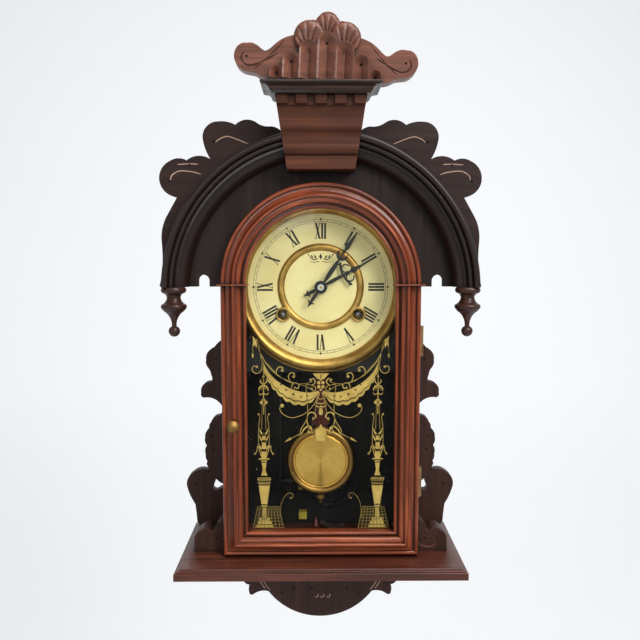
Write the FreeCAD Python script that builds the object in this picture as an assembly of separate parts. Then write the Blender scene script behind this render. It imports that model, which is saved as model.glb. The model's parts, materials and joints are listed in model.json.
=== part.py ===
import FreeCAD, Part
import math
import os

# An arched-bonnet pendulum wall clock, in millimetres, +Z up, seen from the front along +Y.
# The wall is the plane y = 0 and the clock stands in front of it, towards -Y.
# Sizes are laid out about the middle of the dial; export() moves the hanger hole to the origin.

# ---- case ----
case_half_width = 99.0
side_thickness = 8.0
inner_half_width = case_half_width - side_thickness
back_thickness = 9.0
case_front = -85.0
shelf_top = -278.0
case_top_underside = 96.0
case_top_thickness = 8.0
hanger_height = 128.0
hanger_hole_radius = 4.5
hanger_thickness = 2.0
tab_half_width = 45.0
tab_top = 150.0
hanger_screw_x = 13.0
hanger_screw_radius = 1.5

# ---- shelf, apron and ornaments at the wall ----
shelf_half_width = 146.0
shelf_depth = 132.0
shelf_thickness = 10.0
ornament_thickness = 12.0
apron_bottom = -390.5
bracket_thickness = 21.0

# ---- hood ----
hood_bottom = 1.0
panel_thickness = 10.0
panel_radius = 150.0
arch_centre = -3.0
arch_inner_radius = 132.8
arch_outer_radius = 160.4
ear_thickness = 12.0
notch_x = 119.0
notch_width = 12.0
keystone_bottom = 115.8
keystone_top = 185.0
keystone_half_bottom = 33.2
keystone_half_top = 44.0
cap_top = 195.0
cap_overhang = 12.0
cap_front = -130.0
cap_back = -80.0
crest_thickness = 15.0
crest_front = -97.0
shell_thickness = 9.0
crest_lean = 2.5
crest_offset = 4.0
finial_x = 147.0
finial_y = -97.5

# ---- door ----
door_back = -85.5
door_inner_half = 75.0
door_frame_width = 25.3
door_half_width = door_inner_half + door_frame_width
door_arch_centre = 4.0
door_bottom = -276.5
rebate_width = 4.0
rebate_depth = 6.5
glass_back = -90.0
glass_thickness = 2.0
knob_place = (-87.6, -137.1)
knob_shank_radius = 1.6
knob_seat_depth = 20.4
hinge_axis = (102.8, -87.0)
hinge_middles = (-54.5, -202.0)
hinge_height = 31.0
hinge_pin_radius = 0.95
hinge_barrel_radius = 2.1
running_gap = 0.05

# ---- dial and hands ----
dial_radius = 84.0
dial_visible_radius = 75.5
dial_face = -71.0
dial_board_front = -70.0
dial_board_back = -64.0
winding_x = 39.0
winding_z = -28.5
eyelet_hole = 5.6
eyelet_outer = 7.5
inner_ring = (37.5, 45.0)
minute_hand_y = -78.6
hour_hand_y = -74.5
hand_thickness = 0.9
minute_seat_radius = 1.5
hour_pipe_radius = 3.4
hour_seat_radius = 2.9
minute_angle = 33.6
hour_angle = 62.0

# ---- movement ----
plate_half_width = 57.0
plate_bottom = -62.0
plate_top = 70.0
plate_thickness = 1.5
pillar_radius = 2.5
pillar_places = ((-52.0, -57.0), (-52.0, 60.0), (52.0, -57.0), (52.0, 60.0))
seat_screw_places = ((-53.0, -46.0), (-53.0, 48.0), (53.0, -46.0), (53.0, 48.0))
seat_screw_radius = 1.4
seat_inner = 47.5
seat_outer = 60.0
back_plate_back = -17.0
front_plate_back = -49.5
pivot_radius = 1.2
arbor_radius = 1.9
great_y, great_module, great_teeth = -24.0, 0.6, 84
second_y, second_module, second_teeth = -45.0, 0.6, 72
strike_second_y = -47.7
centre_y, centre_module, centre_teeth = -20.4, 0.55, 72
third_y, third_module, third_teeth = -36.0, 0.45, 70
second_pinion, centre_pinion, third_pinion, escape_pinion, fly_pinion = 12, 9, 8, 7, 8
escape_y, escape_radius, escape_teeth = -41.0, 13.0, 40
escape_place = (0.0, 37.0)
anchor_place = (0.0, 57.0)
hammer_place = (-45.0, -57.0)
hammer_wire_y = -23.2
hammer_head_z = -223.0
motion_module = 0.45
motion_module_hour = 0.42
cannon_teeth, minute_teeth, minute_pinion, hour_teeth = 14, 42, 12, 48
motion_y = -52.0
winding_radius = 2.6
winding_pivot_radius = 2.0
winding_arbor_radius = 3.0
cannon_radius = 2.4
anchor_arbor_radius = 1.5
minute_stud_radius = 1.0
winding_square = 1.8

# ---- gong ----
gong_centre = (10.0, -226.0)
gong_start_radius = 13.5
gong_pitch = 6.0
gong_half_turns = 7
gong_back = -21.5
gong_front = -24.0
gong_block_x = (-24.5, -18.5)

# ---- pendulum ----
pendulum_y = -58.0
bob_radius = 37.0
bob_z = -187.0
rod_half_width = 6.0
rod_thickness = 3.5
strip_half_width = 2.4
rating_screw_radius = 1.4
key_place = (2.5, -18.0)
key_turn = 38.3


# ---------------------------------------------------------------- helpers

def vec(x, y, z):
    return FreeCAD.Vector(x, y, z)


def box(x0, x1, y0, y1, z0, z1):
    return Part.makeBox(x1 - x0, y1 - y0, z1 - z0, vec(x0, y0, z0))


def post(x, z, radius, y0, y1):
    """A round bar along Y between two depths."""
    return Part.makeCylinder(radius, y1 - y0, vec(x, y0, z), vec(0, 1, 0))


def tube(x, z, outer, inner, y0, y1):
    return post(x, z, outer, y0, y1).cut(post(x, z, inner, y0 - 1, y1 + 1))


def join(shapes):
    whole = shapes[0]
    for other in shapes[1:]:
        whole = whole.fuse(other)
    return whole.removeSplitter()


def group(shapes):
    return Part.makeCompound(shapes)


def mirrored(shape):
    return shape.mirror(vec(0, 0, 0), vec(1, 0, 0))


def both_sides(shape):
    return group([shape, mirrored(shape)])


def edges_through(start, steps, place):
    """Edges from a start point: a step is a point, or (point on an arc, its end)."""
    edges = []
    here = place(*start)
    for step in steps:
        if isinstance(step[0], tuple):
            middle, end = place(*step[0]), place(*step[1])
            edges.append(Part.Arc(here, middle, end).toShape())
        else:
            end = place(*step)
            edges.append(Part.LineSegment(here, end).toShape())
        here = end
    first = place(*start)
    if here.distanceToPoint(first) > 1e-6:
        edges.append(Part.LineSegment(here, first).toShape())
    return edges


def board(start, steps, y0, y1):
    """A flat piece with an outline in X and Z, from depth y0 to y1."""
    wire = Part.Wire(edges_through(start, steps, lambda x, z: vec(x, y0, z)))
    return Part.Face(wire).extrude(vec(0, y1 - y0, 0))


def turned_about_z(start, steps, x, y):
    """A turned piece: an outline in radius and Z, revolved about a vertical axis."""
    wire = Part.Wire(edges_through(start, steps, lambda r, z: vec(x + r, y, z)))
    return Part.Face(wire).revolve(vec(x, y, 0), vec(0, 0, 1), 360)


def turned_about_y(start, steps, x, z, angle=360):
    """A turned piece: an outline in radius and Y, revolved about an axis along Y."""
    wire = Part.Wire(edges_through(start, steps, lambda r, y: vec(x + r, y, z)))
    return Part.Face(wire).revolve(vec(x, 0, z), vec(0, -1, 0), angle)


def dome(radius, height, tip):
    """The arc step that closes a turned outline on its axis, square to it."""
    centre = (radius ** 2 + height ** 2 - tip ** 2) / (2 * (height - tip))
    size = abs(tip - centre)
    start = math.atan2(height - centre, radius)
    end = math.copysign(math.pi / 2, tip - centre)
    middle = (start + end) / 2
    return ((size * math.cos(middle), centre + size * math.sin(middle)), (0, tip))


def arch_loop(half, centre_z, bottom, y0, y1):
    """A filled shape with straight sides and a half-round top."""
    return board((-half, bottom), [(-half, centre_z), ((0, centre_z + half), (half, centre_z)),
                                   (half, bottom)], y0, y1)


def circle_meet(a, ra, b, rb, side):
    """The point at ra from a and rb from b, on one side of the line between them."""
    dx, dz = b[0] - a[0], b[1] - a[1]
    gap = math.hypot(dx, dz)
    along = (ra * ra - rb * rb + gap * gap) / (2 * gap)
    off = side * math.sqrt(ra * ra - along * along)
    return (a[0] + (along * dx - off * dz) / gap, a[1] + (along * dz + off * dx) / gap)


def heading(a, b):
    return math.atan2(b[1] - a[1], b[0] - a[0])


def gear(centre, teeth, module, y0, y1, start_angle):
    """A toothed disc with short straight-sided teeth, one centred on start_angle."""
    pitch = 2 * math.pi / teeth
    root = module * (teeth / 2 - 1.1)
    tip = module * (teeth / 2 + 0.75)
    points = []
    for k in range(teeth):
        middle = start_angle + k * pitch
        for radius, turn in ((root, -0.25), (tip, -0.11), (tip, 0.11), (root, 0.25)):
            a = middle + turn * pitch
            points.append(vec(centre[0] + radius * math.cos(a), y0, centre[1] + radius * math.sin(a)))
    wire = Part.makePolygon(points + points[:1])
    return Part.Face(wire).extrude(vec(0, y1 - y0, 0))


def spoked(wheel, centre, inner, outer, y0, y1, spokes=4):
    """Cut windows between the hub and the rim, leaving straight spokes."""
    ring = tube(centre[0], centre[1], outer, inner, y0 - 0.5, y1 + 0.5)
    for k in range(spokes):
        bar = box(0, outer + 1, y0 - 1, y1 + 1, -0.9, 0.9)
        bar.rotate(vec(0, 0, 0), vec(0, -1, 0), 45 + k * 360 / spokes)
        bar.translate(vec(centre[0], 0, centre[1]))
        ring = ring.cut(bar)
    return wheel.cut(ring)


def spiral_strip(centre, radius, pitch, half_turns, thick, y0, y1):
    """A flat strip wound into a spiral of half-round arcs."""
    outer, inner = [], []
    side, middle = 1, centre[0]
    for k in range(half_turns):
        r = radius + k * pitch / 2
        for edge, size in ((outer, r + thick / 2), (inner, r - thick / 2)):
            a = vec(middle + side * size, y0, centre[1])
            b = vec(middle, y0, centre[1] + side * size)
            c = vec(middle - side * size, y0, centre[1])
            edge.append(Part.Arc(a, b, c).toShape())
        side = -side
        middle -= side * pitch / 2
    ends = [Part.LineSegment(outer[0].Vertexes[0].Point, inner[0].Vertexes[0].Point).toShape(),
            Part.LineSegment(outer[-1].Vertexes[-1].Point, inner[-1].Vertexes[-1].Point).toShape()]
    wire = Part.Wire(Part.__sortEdges__(outer + inner + ends))
    return Part.Face(wire).extrude(vec(0, y1 - y0, 0))


def arbor(place, thick=arbor_radius):
    """A steel arbor between the plates, with a thin pivot through each plate."""
    x, z = place
    y0, y1 = back_plate_back + 0.5, front_plate_back - plate_thickness - 0.5
    inner_back = back_plate_back - plate_thickness - 0.3
    inner_front = front_plate_back + 0.3
    return [post(x, z, thick, inner_front, inner_back), post(x, z, pivot_radius, y1, y0)]


# ---------------------------------------------------------------- case

def back_board():
    whole = box(-inner_half_width, inner_half_width, -back_thickness, 0, shelf_top, case_top_underside)
    tab = box(-tab_half_width, tab_half_width, -back_thickness, 0, case_top_underside, tab_top)
    plate_bed = box(-18, 18, -hanger_thickness, 1, hanger_height - 10, hanger_height + 12)
    nail_pocket = post(0, hanger_height, 9, -back_thickness + 2, -hanger_thickness + 0.01)
    board_and_tab = join([whole, tab]).cut(plate_bed).cut(nail_pocket)
    for hole in seat_screw_shanks() + hanger_screw_shanks():
        board_and_tab = board_and_tab.cut(hole)
    return board_and_tab


def case_sides():
    lower = box(inner_half_width, case_half_width, case_front, 0, shelf_top, hood_bottom)
    upper = box(inner_half_width, case_half_width, case_front + panel_thickness, 0,
                hood_bottom, case_top_underside)
    return both_sides(join([lower, upper]))


def case_top():
    lid = box(-case_half_width, case_half_width, case_front + panel_thickness, 0,
              case_top_underside, case_top_underside + case_top_thickness)
    return lid.cut(box(-tab_half_width, tab_half_width, -back_thickness, 1,
                       case_top_underside - 1, case_top_underside + 20))


def stepped_slab(half, front, z0, z1, round_top):
    slab = box(-half, half, front, 0, z0, z1)
    edges = [e for e in slab.Edges
             if all(abs(v.Point.z - z1) < 1e-6 for v in e.Vertexes)
             and not all(abs(v.Point.y) < 1e-6 for v in e.Vertexes)]
    return slab.makeFillet(round_top, edges)


def base_shelf():
    """The shelf board: a plain fascia below two receding rounded steps."""
    bottom = shelf_top - shelf_thickness
    steps = [(0.0, bottom, shelf_top - 2.6, 0.8), (2.2, shelf_top - 2.6, shelf_top - 1.2, 0.6),
             (4.8, shelf_top - 1.2, shelf_top, 1.0)]
    return join([stepped_slab(shelf_half_width - inset, -shelf_depth + inset, z0, z1, r)
                 for inset, z0, z1, r in steps])


def bottom_apron():
    shelf_bottom = shelf_top - shelf_thickness
    right = [((97, -318), (90, -346)), ((87, -350.5), (83, -351.8)), ((83.8, -357.5), (82.4, -363.8)),
             (79, -364.2), ((71.5, -360), (63.5, -359.3)), ((61, -360), (59, -362)),
             ((0, apron_bottom), (-59, -362))]
    left = [((-61, -360), (-63.5, -359.3)), ((-71.5, -360), (-79, -364.2)), (-82.4, -363.8),
            ((-83.8, -357.5), (-83, -351.8)), ((-87, -350.5), (-90, -346)),
            ((-97, -318), (-100, shelf_bottom))]
    apron = board((100, shelf_bottom), right + left, -ornament_thickness, 0)
    for x, z in ((9.5, -356.5), (31, -355.2), (44.5, -362)):
        for side in (-1, 1):
            apron = apron.cut(post(side * x, z, 1.1, -ornament_thickness - 1, -ornament_thickness + 1.4))
    return apron


def side_ornaments():
    """Scroll, leaf and lower ear beside the case at the wall; the ear is a board of its own."""
    edge = case_half_width
    leaf = board((edge, -60), [
        ((112, -63), (120.5, -71.5)), ((127.5, -76.5), (129.6, -85.4)), ((129.6, -90), (127.8, -94)),
        ((125.2, -98), (124, -103)), ((122.9, -107), (124.1, -111)), ((133.2, -114), (135.7, -123.1)),
        ((135.4, -127.4), (132.4, -129)), ((122, -130), (114, -136)), ((111.5, -142), (115.7, -150.1)),
        ((121.9, -152.4), (124.9, -157.6)), ((127, -160.6), (126.7, -165)),
        ((130.8, -168.8), (132, -175)), ((132.3, -180.2), (130.2, -184.6)),
        ((132.2, -189.3), (131.7, -195)), ((131.6, -199.4), (129.8, -203.2)),
        ((130.8, -206), (129.6, -209)), ((125.5, -218), (119, -225.3)), ((110, -231), (edge, -232))],
        -ornament_thickness, 0)
    ear = board((edge, shelf_top), [
        (140.4, shelf_top), ((142.2, -275.6), (142.8, -272)), ((143.6, -263), (144.6, -254.1)),
        ((149.6, -245), (153.2, -235)), ((152.6, -223.5), (146.4, -216.8)),
        ((135.5, -213), (125.4, -217.3)), ((121.7, -225), (124.1, -233.6)),
        ((122.4, -238), (117.5, -236.8)), ((109, -234.5), (edge, -236))], -ornament_thickness, 0)
    front = -ornament_thickness
    for x, z in ((118.1, -84.2), (119.5, -160.5), (124, -174), (122.5, -189.5)):
        leaf = leaf.cut(post(x, z, 1.1, front - 1, front + 1.4))
    ear = ear.cut(post(142.3, -230.1, 1.3, front - 1, front + 1.6))
    pieces = [leaf, ear]
    return group(pieces + [mirrored(p) for p in pieces])


def scroll_brackets():
    edge = case_half_width
    scroll = board((edge, shelf_top), [
        (133, shelf_top), (133, -262.6), ((130.7, -258.7), (127, -256.2)),
        ((121.5, -253), (116, -254.2)), ((111, -255.6), (109.6, -251.4)),
        ((107.5, -246.5), (edge, -245))], case_front, case_front + bracket_thickness)
    eye = post(109.5, -264.5, 1.2, case_front - 1, case_front + 1.5)
    return both_sides(scroll.cut(eye))


# ---------------------------------------------------------------- hood

def hood_panel():
    front, back = case_front, case_front + panel_thickness
    half_disc = board((-panel_radius, hood_bottom),
                      [((0, hood_bottom + panel_radius), (panel_radius, hood_bottom))], front, back)
    opening = arch_loop(inner_half_width, hood_bottom + 1, hood_bottom - 5, front - 1, back + 1)
    panel = half_disc.cut(opening)
    half = notch_width / 2
    for side in (-1, 1):
        slot = arch_loop(half, hood_bottom + 6, hood_bottom - 2, front - 1, back + 1)
        slot.translate(vec(side * notch_x, 0, 0))
        panel = panel.cut(slot)
    return panel


def hood_moulding():
    """A reeded round arch on the panel, cut level at its feet and open where the keystone stands."""
    f = case_front
    r = arch_inner_radius
    ring = turned_about_y((r, f), [
        (r, f - 4), ((r + 3.5, f - 11.5), (r + 10, f - 15.5)), (r + 10, f - 17), (r + 11.6, f - 17),
        (r + 11.6, f - 14.6), (r + 13.4, f - 14.6), (r + 13.4, f - 19),
        ((r + 16.0, f - 21.3), (r + 18.4, f - 19.8)), (r + 18.4, f - 21.6),
        ((r + 21.6, f - 25), (r + 24.8, f - 22.2)), (r + 24.8, f - 19),
        ((r + 27.0, f - 12), (arch_outer_radius, f - 4)), (arch_outer_radius, f)], 0, arch_centre, 180)
    below = box(-170, 170, f - 30, f + 1, arch_centre - 1, hood_bottom)
    wedge = keystone_blank(f - 60, f + 5)
    return ring.cut(below).cut(wedge)


def keystone_blank(y0, y1):
    top = keystone_top
    return board((-keystone_half_bottom, keystone_bottom), [
        (-keystone_half_top, top), (keystone_half_top, top), (keystone_half_bottom, keystone_bottom)],
        y0, y1)


def hood_ears():
    """The pierced-looking ears behind the arch, one board each side."""
    back = case_front + ear_thickness
    turn = math.radians(41)
    arch_point = (panel_radius * math.cos(turn), hood_bottom + panel_radius * math.sin(turn))
    ear = board((panel_radius, hood_bottom), [
        (163.8, hood_bottom), ((160.4, 22), (160.6, 46)), ((159.6, 60), (155, 72)),
        ((149.8, 81), (144.2, 90.9)), ((153.4, 93.9), (160.0, 101.4)), ((161.4, 113.4), (150.6, 126.6)),
        ((142, 129.2), (134, 127.2)), ((122.5, 131.6), (110.5, 128.6)),
        ((114.6, 136.6), (117.8, 149)), ((113.4, 160.6), (102.6, 165.2)), ((93.5, 164.9), (85, 162)),
        ((74.8, 166.9), (65, 164.8)), ((57.5, 161), (49, 160.5)), ((42, 158), (37, 153)),
        (20, 153), (20, hood_bottom + math.sqrt(panel_radius ** 2 - 20 ** 2))]
        + [(arch_point, (panel_radius, hood_bottom))], case_front, back)
    for x, z in ((151.6, 106.5), (131.5, 122.5), (106.6, 145)):
        ear = ear.cut(post(x, z, 1.2, case_front - 1, case_front + 1.5))
    return both_sides(ear)


def drop_finials():
    top = hood_bottom
    finial = turned_about_z((0, top), [
        (10.8, top), ((12.6, top - 3), (10.4, top - 6)), ((7.6, top - 8), (6.9, top - 11)),
        ((8.4, top - 14.4), (12.2, top - 17.4)), ((12.9, top - 19.4), (12.0, top - 21.6)),
        (10.0, top - 24), (9.4, top - 24.4), ((4.6, top - 29.6), (2.4, top - 36.5)),
        (2.4, top - 39.2), ((4.6, top - 40.7), (5.7, top - 44)), dome(5.7, top - 44, top - 49.7)],
        finial_x, finial_y)
    return both_sides(finial)


def keystone():
    """A wedge with a wavy face above a plain foot, and a row of dentils under the cap."""
    face_wire = Part.Wire(edges_through((case_front, keystone_bottom), [
        (-109, 115.8), (-109, 128.4), (-107.6, 128.4), (-107.6, 129.4), (-109.6, 129.4),
        ((-112.6, 134.5), (-111, 140)), ((-108.8, 145.5), (-110.6, 151)),
        ((-113.2, 155), (-112.4, 159)), ((-110.6, 167), (-112.2, 175)),
        (-113.2, 175), (-113.2, keystone_top), (case_front, keystone_top)],
        lambda y, z: vec(-60, y, z)))
    bar = Part.Face(face_wire).extrude(vec(120, 0, 0))
    body = bar.common(keystone_blank(-130, case_front + 0.001))
    blocks = []
    for k in range(-2, 3):
        x = k * 18.6
        blocks.append(box(x - 5.4, x + 5.4, -116.6, -113.2, 176, keystone_top))
    return join([body] + blocks)


def keystone_cap():
    """A moulded cap with returns on both sides, mitred at its front corners."""
    half = keystone_half_top + 1
    front = cap_front + cap_overhang
    z0 = keystone_top

    def side(mark, base):
        return [(base + mark * 2.0, z0), (base + mark * 2.0, z0 + 1.4), (base + mark * 3.4, z0 + 1.4),
                ((base + mark * 5.2, z0 + 5.2), (base + mark * 9.6, z0 + 6.4)),
                (base + mark * 9.6, z0 + 7.2),
                ((base + mark * 12.2, z0 + 8.4), (base + mark * 10.8, cap_top))]

    front_steps = side(-1, front)
    wire = Part.Wire(edges_through(front_steps[0], front_steps[1:] + [(cap_back, cap_top), (cap_back, z0)],
                                   lambda y, z: vec(-80, y, z)))
    along = Part.Face(wire).extrude(vec(160, 0, 0))
    right_steps = side(1, half)
    left_steps = side(-1, -half)
    back_again = [left_steps[-1][1], ((left_steps[-1][0]), left_steps[-2])]
    outline = right_steps[1:] + [back_again[0], back_again[1], (left_steps[3][1]),
                                 (left_steps[3][0], left_steps[2]), left_steps[1], left_steps[0]]
    across = board(right_steps[0], outline, -160, 0)
    return along.common(across)


def crest_outline():
    right = [((58, 196), (64, 198.2)), ((67.4, 200.3), (71, 200.6)), ((88.4, 207.5), (76, 227)),
             ((66, 228), (57.5, 221.4)), ((48.5, 229.6), (39.4, 234.2)), ((34, 236.2), (28.6, 237)),
             ((26.4, 245), (18.5, 249.6)), ((14, 250.8), (10.6, 250.4)), ((6.4, 257.6), (0, 258.9))]
    left = []
    for index in range(len(right) - 1, -1, -1):
        middle = right[index][0]
        end = right[index - 1][1] if index else (52, cap_top)
        left.append(((-middle[0], middle[1]), (-end[0], end[1])))
    return right + left


def crest_board():
    """The carved crest: a winged board and, glued on its face, a shell of seven flutes."""
    wings = board((52, cap_top), crest_outline(), crest_front - crest_thickness, crest_front)
    front = crest_front - crest_thickness
    for side in (-1, 1):
        wings = wings.cut(post(side * 75.5, 214.5, 1.4, front - 1, front + 1.6))
    flutes = []
    for middle, half, top in ((0, 8.8, 238.4), (17.1, 8.6, 230.6), (33, 8.0, 219.6), (47, 6.6, 206.5)):
        for side in ((1,) if middle == 0 else (-1, 1)):
            x = side * middle
            flutes.append(board((x - half, cap_top), [
                (x - half, top - half), ((x, top), (x + half, top - half)), (x + half, cap_top)],
                front - shell_thickness, front))
    shell = join(flutes)
    pieces = []
    for piece in (wings, shell):
        piece.rotate(vec(52, 0, cap_top), vec(0, 1, 0), crest_lean)
        piece.translate(vec(crest_offset, 0, 0.1))
        pieces.append(piece)
    return group(pieces)


# ---------------------------------------------------------------- fittings on the case

def hanger_plate():
    plate = box(-18, 18, -hanger_thickness, 0, hanger_height - 10, hanger_height + 12)
    plate = plate.cut(post(0, hanger_height, hanger_hole_radius, -5, 1))
    for shank in hanger_screw_shanks():
        plate = plate.cut(shank)
    return plate


def hanger_screw_shanks():
    return [post(x, hanger_height + 3, hanger_screw_radius, -back_thickness + 2, 0)
            for x in (-hanger_screw_x, hanger_screw_x)]


def seat_screw_shanks():
    plate_front = back_plate_back - plate_thickness
    return [post(x, z, seat_screw_radius, plate_front, -back_thickness + 4) for x, z in seat_screw_places]


def wood_screws():
    """Screws of the hanger plate, and the four that hold the movement on its battens."""
    plate_front = back_plate_back - plate_thickness
    seat_screws = [join([shank, post(x, z, 2.6, plate_front - 1.4, plate_front)])
                   for shank, (x, z) in zip(seat_screw_shanks(), seat_screw_places)]
    return group(hanger_screw_shanks() + seat_screws)


def hinge_knuckles(z0, z1):
    x, y = hinge_axis
    return Part.makeCylinder(hinge_barrel_radius, z1 - z0, vec(x, y, z0), vec(0, 0, 1))


def hinge_case_leaves():
    """Two leaves on the case side with outer knuckles, each with its pin."""
    x, y = hinge_axis
    parts = []
    third = hinge_height / 3
    for middle in hinge_middles:
        low, high = middle - hinge_height / 2, middle + hinge_height / 2
        leaf = box(case_half_width, case_half_width + 1, -83.5, -70, low, high)
        for z in (low + 6, high - 6):
            leaf = leaf.cut(Part.makeCylinder(1.2, 3, vec(case_half_width - 1, -76, z), vec(1, 0, 0)))
        pieces = [leaf]
        for z0, z1 in ((low, low + third - 0.2), (high - third + 0.2, high)):
            pieces.append(hinge_knuckles(z0, z1))
            pieces.append(box(case_half_width, x + 0.8, y + 1.8, -83.5, z0, z1))
        pin = Part.makeCylinder(hinge_pin_radius, hinge_height, vec(x, y, low), vec(0, 0, 1))
        parts.append(join(pieces + [pin]))
    return group(parts)


def gong_coil():
    return spiral_strip(gong_centre, gong_start_radius, gong_pitch, gong_half_turns, 1.4,
                        gong_front, gong_back)


def gong_post():
    """The brass block that holds the outer end of the gong, and the block of its foot below."""
    left, right = gong_block_x
    block_back = gong_back + 2.5
    block = box(left, right, gong_front - 5, block_back, gong_centre[1] - 5, gong_centre[1] + 4.5)
    stud = post((left + right) / 2, gong_centre[1], 2.8, block_back, -back_thickness)
    lower_block = box(left, left + 9, -17.0, -back_thickness, -270.5, -262.0)
    return group([join([block, stud]).cut(gong_coil()), lower_block])


def beat_pointer():
    """A small cone on the case floor that shows the middle of the swing."""
    return Part.makeCone(4.2, 0.6, 9.5, vec(-5.0, -16.0, shelf_top), vec(0, 0, 1))


# ---------------------------------------------------------------- door

def door_profile(steps_from):
    """The reeded face of the door frame, as steps in width from the inner edge and height."""
    w, d = steps_from
    return [(w(0), d(0)), [
        (w(0), d(13.2)), ((w(1.7), d(15.2)), (w(3.4), d(13.4))), (w(3.4), d(11.8)), (w(4.9), d(11.8)),
        (w(4.9), d(15.0)), ((w(7.3), d(18.0)), (w(10.3), d(18.2))), (w(10.3), d(19.4)),
        ((w(11.9), d(21.3)), (w(13.6), d(20.0))), ((w(15.4), d(15.8)), (w(19.4), d(13.8))),
        (w(19.4), d(12.4)), (w(20.8), d(12.4)), ((w(23.0), d(14.8)), (w(door_frame_width), d(12.2))),
        (w(door_frame_width), d(0))]]


def door_rebate(half_extra):
    """The step behind the inner edge that takes the glass and its bead."""
    half = door_inner_half + half_extra
    return arch_loop(half, door_arch_centre, door_bottom + door_frame_width - half_extra - 0.8,
                     door_back - rebate_depth, door_back + 1)


def door_arch():
    start, steps = door_profile((lambda w: door_inner_half + w, lambda d: door_back - d))
    ring = turned_about_y(start, steps, 0, door_arch_centre, 180)
    return ring.cut(door_rebate(rebate_width))


def mitre_prism(keep_side):
    """A wedge outside the 45 degree mitre lines at the door's bottom corners."""
    half, low, width = door_half_width, door_bottom, door_frame_width
    reach = 400
    if keep_side == "stile":
        return board((half + reach, low - reach), [(half - width - reach, low + width + reach),
                                                   (half + reach, low + width + reach)],
                     door_back - 40, door_back + 5)
    return board((half + reach, low - reach), [(half - width, low + width), (-half + width, low + width),
                                               (-half - reach, low - reach)],
                 door_back - 40, door_back + 5)


def door_stiles():
    """Both stiles, mitred at the foot, and the thin collars where they meet the arch."""
    x, z = knob_place
    knob_hole = post(x, z, knob_shank_radius, door_back - 40, door_back - 6)
    knob_seat = post(x, z, 6.5, door_back - 40, door_back - knob_seat_depth)
    start, steps = door_profile((lambda w: door_inner_half + w, lambda d: door_back - d))
    wire = Part.Wire(edges_through(start, steps, lambda x, y: vec(x, y, door_bottom)))
    bar = Part.Face(wire).extrude(vec(0, 0, door_arch_centre - 1.2 - door_bottom))
    stile = bar.common(mitre_prism("stile")).cut(door_rebate(rebate_width))
    low, high = door_arch_centre - 1.2, door_arch_centre
    stile = join([stile, bar_top(low, high)])
    collar = box(door_inner_half - 2.8, door_half_width + 2.6, door_back - 23.4, door_back - 5.5, low, high)
    rim = [e for e in collar.Edges if all(abs(v.Point.y - (door_back - 23.4)) < 1e-6 for v in e.Vertexes)]
    collar = collar.makeFillet(0.5, rim)
    collar = collar.cut(bar_top(low - 1, high + 1)).cut(box(0, 200, door_back - 5.6, 0, -50, 50))
    collar = collar.cut(door_rebate(rebate_width))
    right = [stile] + collar.Solids
    left = [mirrored(p).cut(knob_hole).cut(knob_seat) for p in right]
    return group(right + left)


def bar_top(z0, z1):
    start, steps = door_profile((lambda w: door_inner_half + w, lambda d: door_back - d))
    wire = Part.Wire(edges_through(start, steps, lambda x, y: vec(x, y, z0)))
    return Part.Face(wire).extrude(vec(0, 0, z1 - z0)).cut(door_rebate(rebate_width))


def door_bottom_rail():
    inner_edge = door_bottom + door_frame_width
    start, steps = door_profile((lambda w: inner_edge - w, lambda d: door_back - d))
    wire = Part.Wire(edges_through(start, steps, lambda z, y: vec(-door_half_width - 5, y, z)))
    bar = Part.Face(wire).extrude(vec(2 * door_half_width + 10, 0, 0))
    return bar.common(mitre_prism("rail")).cut(door_rebate(rebate_width))


def door_glass():
    bottom = door_bottom + door_frame_width - rebate_width - 0.6
    return arch_loop(door_inner_half + rebate_width - 0.2, door_arch_centre, bottom,
                     glass_back - glass_thickness, glass_back)


def glass_bead():
    """The thin strip pinned behind the glass all round."""
    bottom = door_bottom + door_frame_width - rebate_width - 0.6
    outer = arch_loop(door_inner_half + rebate_width - 0.2, door_arch_centre, bottom, glass_back, -86.5)
    inner = arch_loop(door_inner_half + 0.6, door_arch_centre, bottom + 3.2, glass_back - 1, -80)
    return outer.cut(inner)


def door_knob():
    x, z = knob_place
    face = door_back - knob_seat_depth
    knob = turned_about_y((0, face), [
        (4.2, face), (4.2, face - 0.8), ((2.6, face - 2.2), (2.7, face - 4.2)),
        ((5.2, face - 5.0), (6.1, face - 7.4)), dome(6.1, face - 7.4, face - 11.4)], x, z)
    shank = post(x, z, knob_shank_radius, face, door_back - 6)
    return join([knob, shank])


def hinge_door_leaves():
    """Two leaves on the door's edge with the middle knuckles."""
    x, y = hinge_axis
    third = hinge_height / 3
    parts = []
    for middle in hinge_middles:
        low, high = middle - third / 2 + 0.2, middle + third / 2 - 0.2
        leaf = box(door_half_width, door_half_width + 1, -97.4, y - 0.5, low - 9, high + 9)
        for z in (low - 5, high + 5):
            leaf = leaf.cut(Part.makeCylinder(1.2, 3, vec(door_half_width - 1, -93, z), vec(1, 0, 0)))
        for start in (low - 0.2 - hinge_height, high + 0.2):
            clear = Part.makeCylinder(hinge_barrel_radius + 0.3, hinge_height, vec(x, y, start), vec(0, 0, 1))
            leaf = leaf.cut(clear)
        web = box(door_half_width, x, y - 1.6, y - 0.5, low, high)
        whole = join([leaf, hinge_knuckles(low, high), web])
        parts.append(whole.cut(Part.makeCylinder(hinge_pin_radius + running_gap, 60, vec(x, y, low - 20),
                                                 vec(0, 0, 1))))
    return group(parts)


# ---------------------------------------------------------------- dial

def dial_board():
    panel = box(-inner_half_width, inner_half_width, dial_board_front, dial_board_back, -89.5,
                case_top_underside - 3)
    panel = panel.cut(arch_cut())
    panel = panel.cut(post(0, 0, 8, -75, -60))
    for side in (-1, 1):
        panel = panel.cut(post(side * winding_x, winding_z, eyelet_hole, -75, -60))
    return panel


def arch_cut():
    """What lies outside the rounded top of the case opening."""
    whole = box(-120, 120, -75, -60, 2, 140)
    return whole.cut(post(0, 2, inner_half_width, -76, -59))


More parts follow.
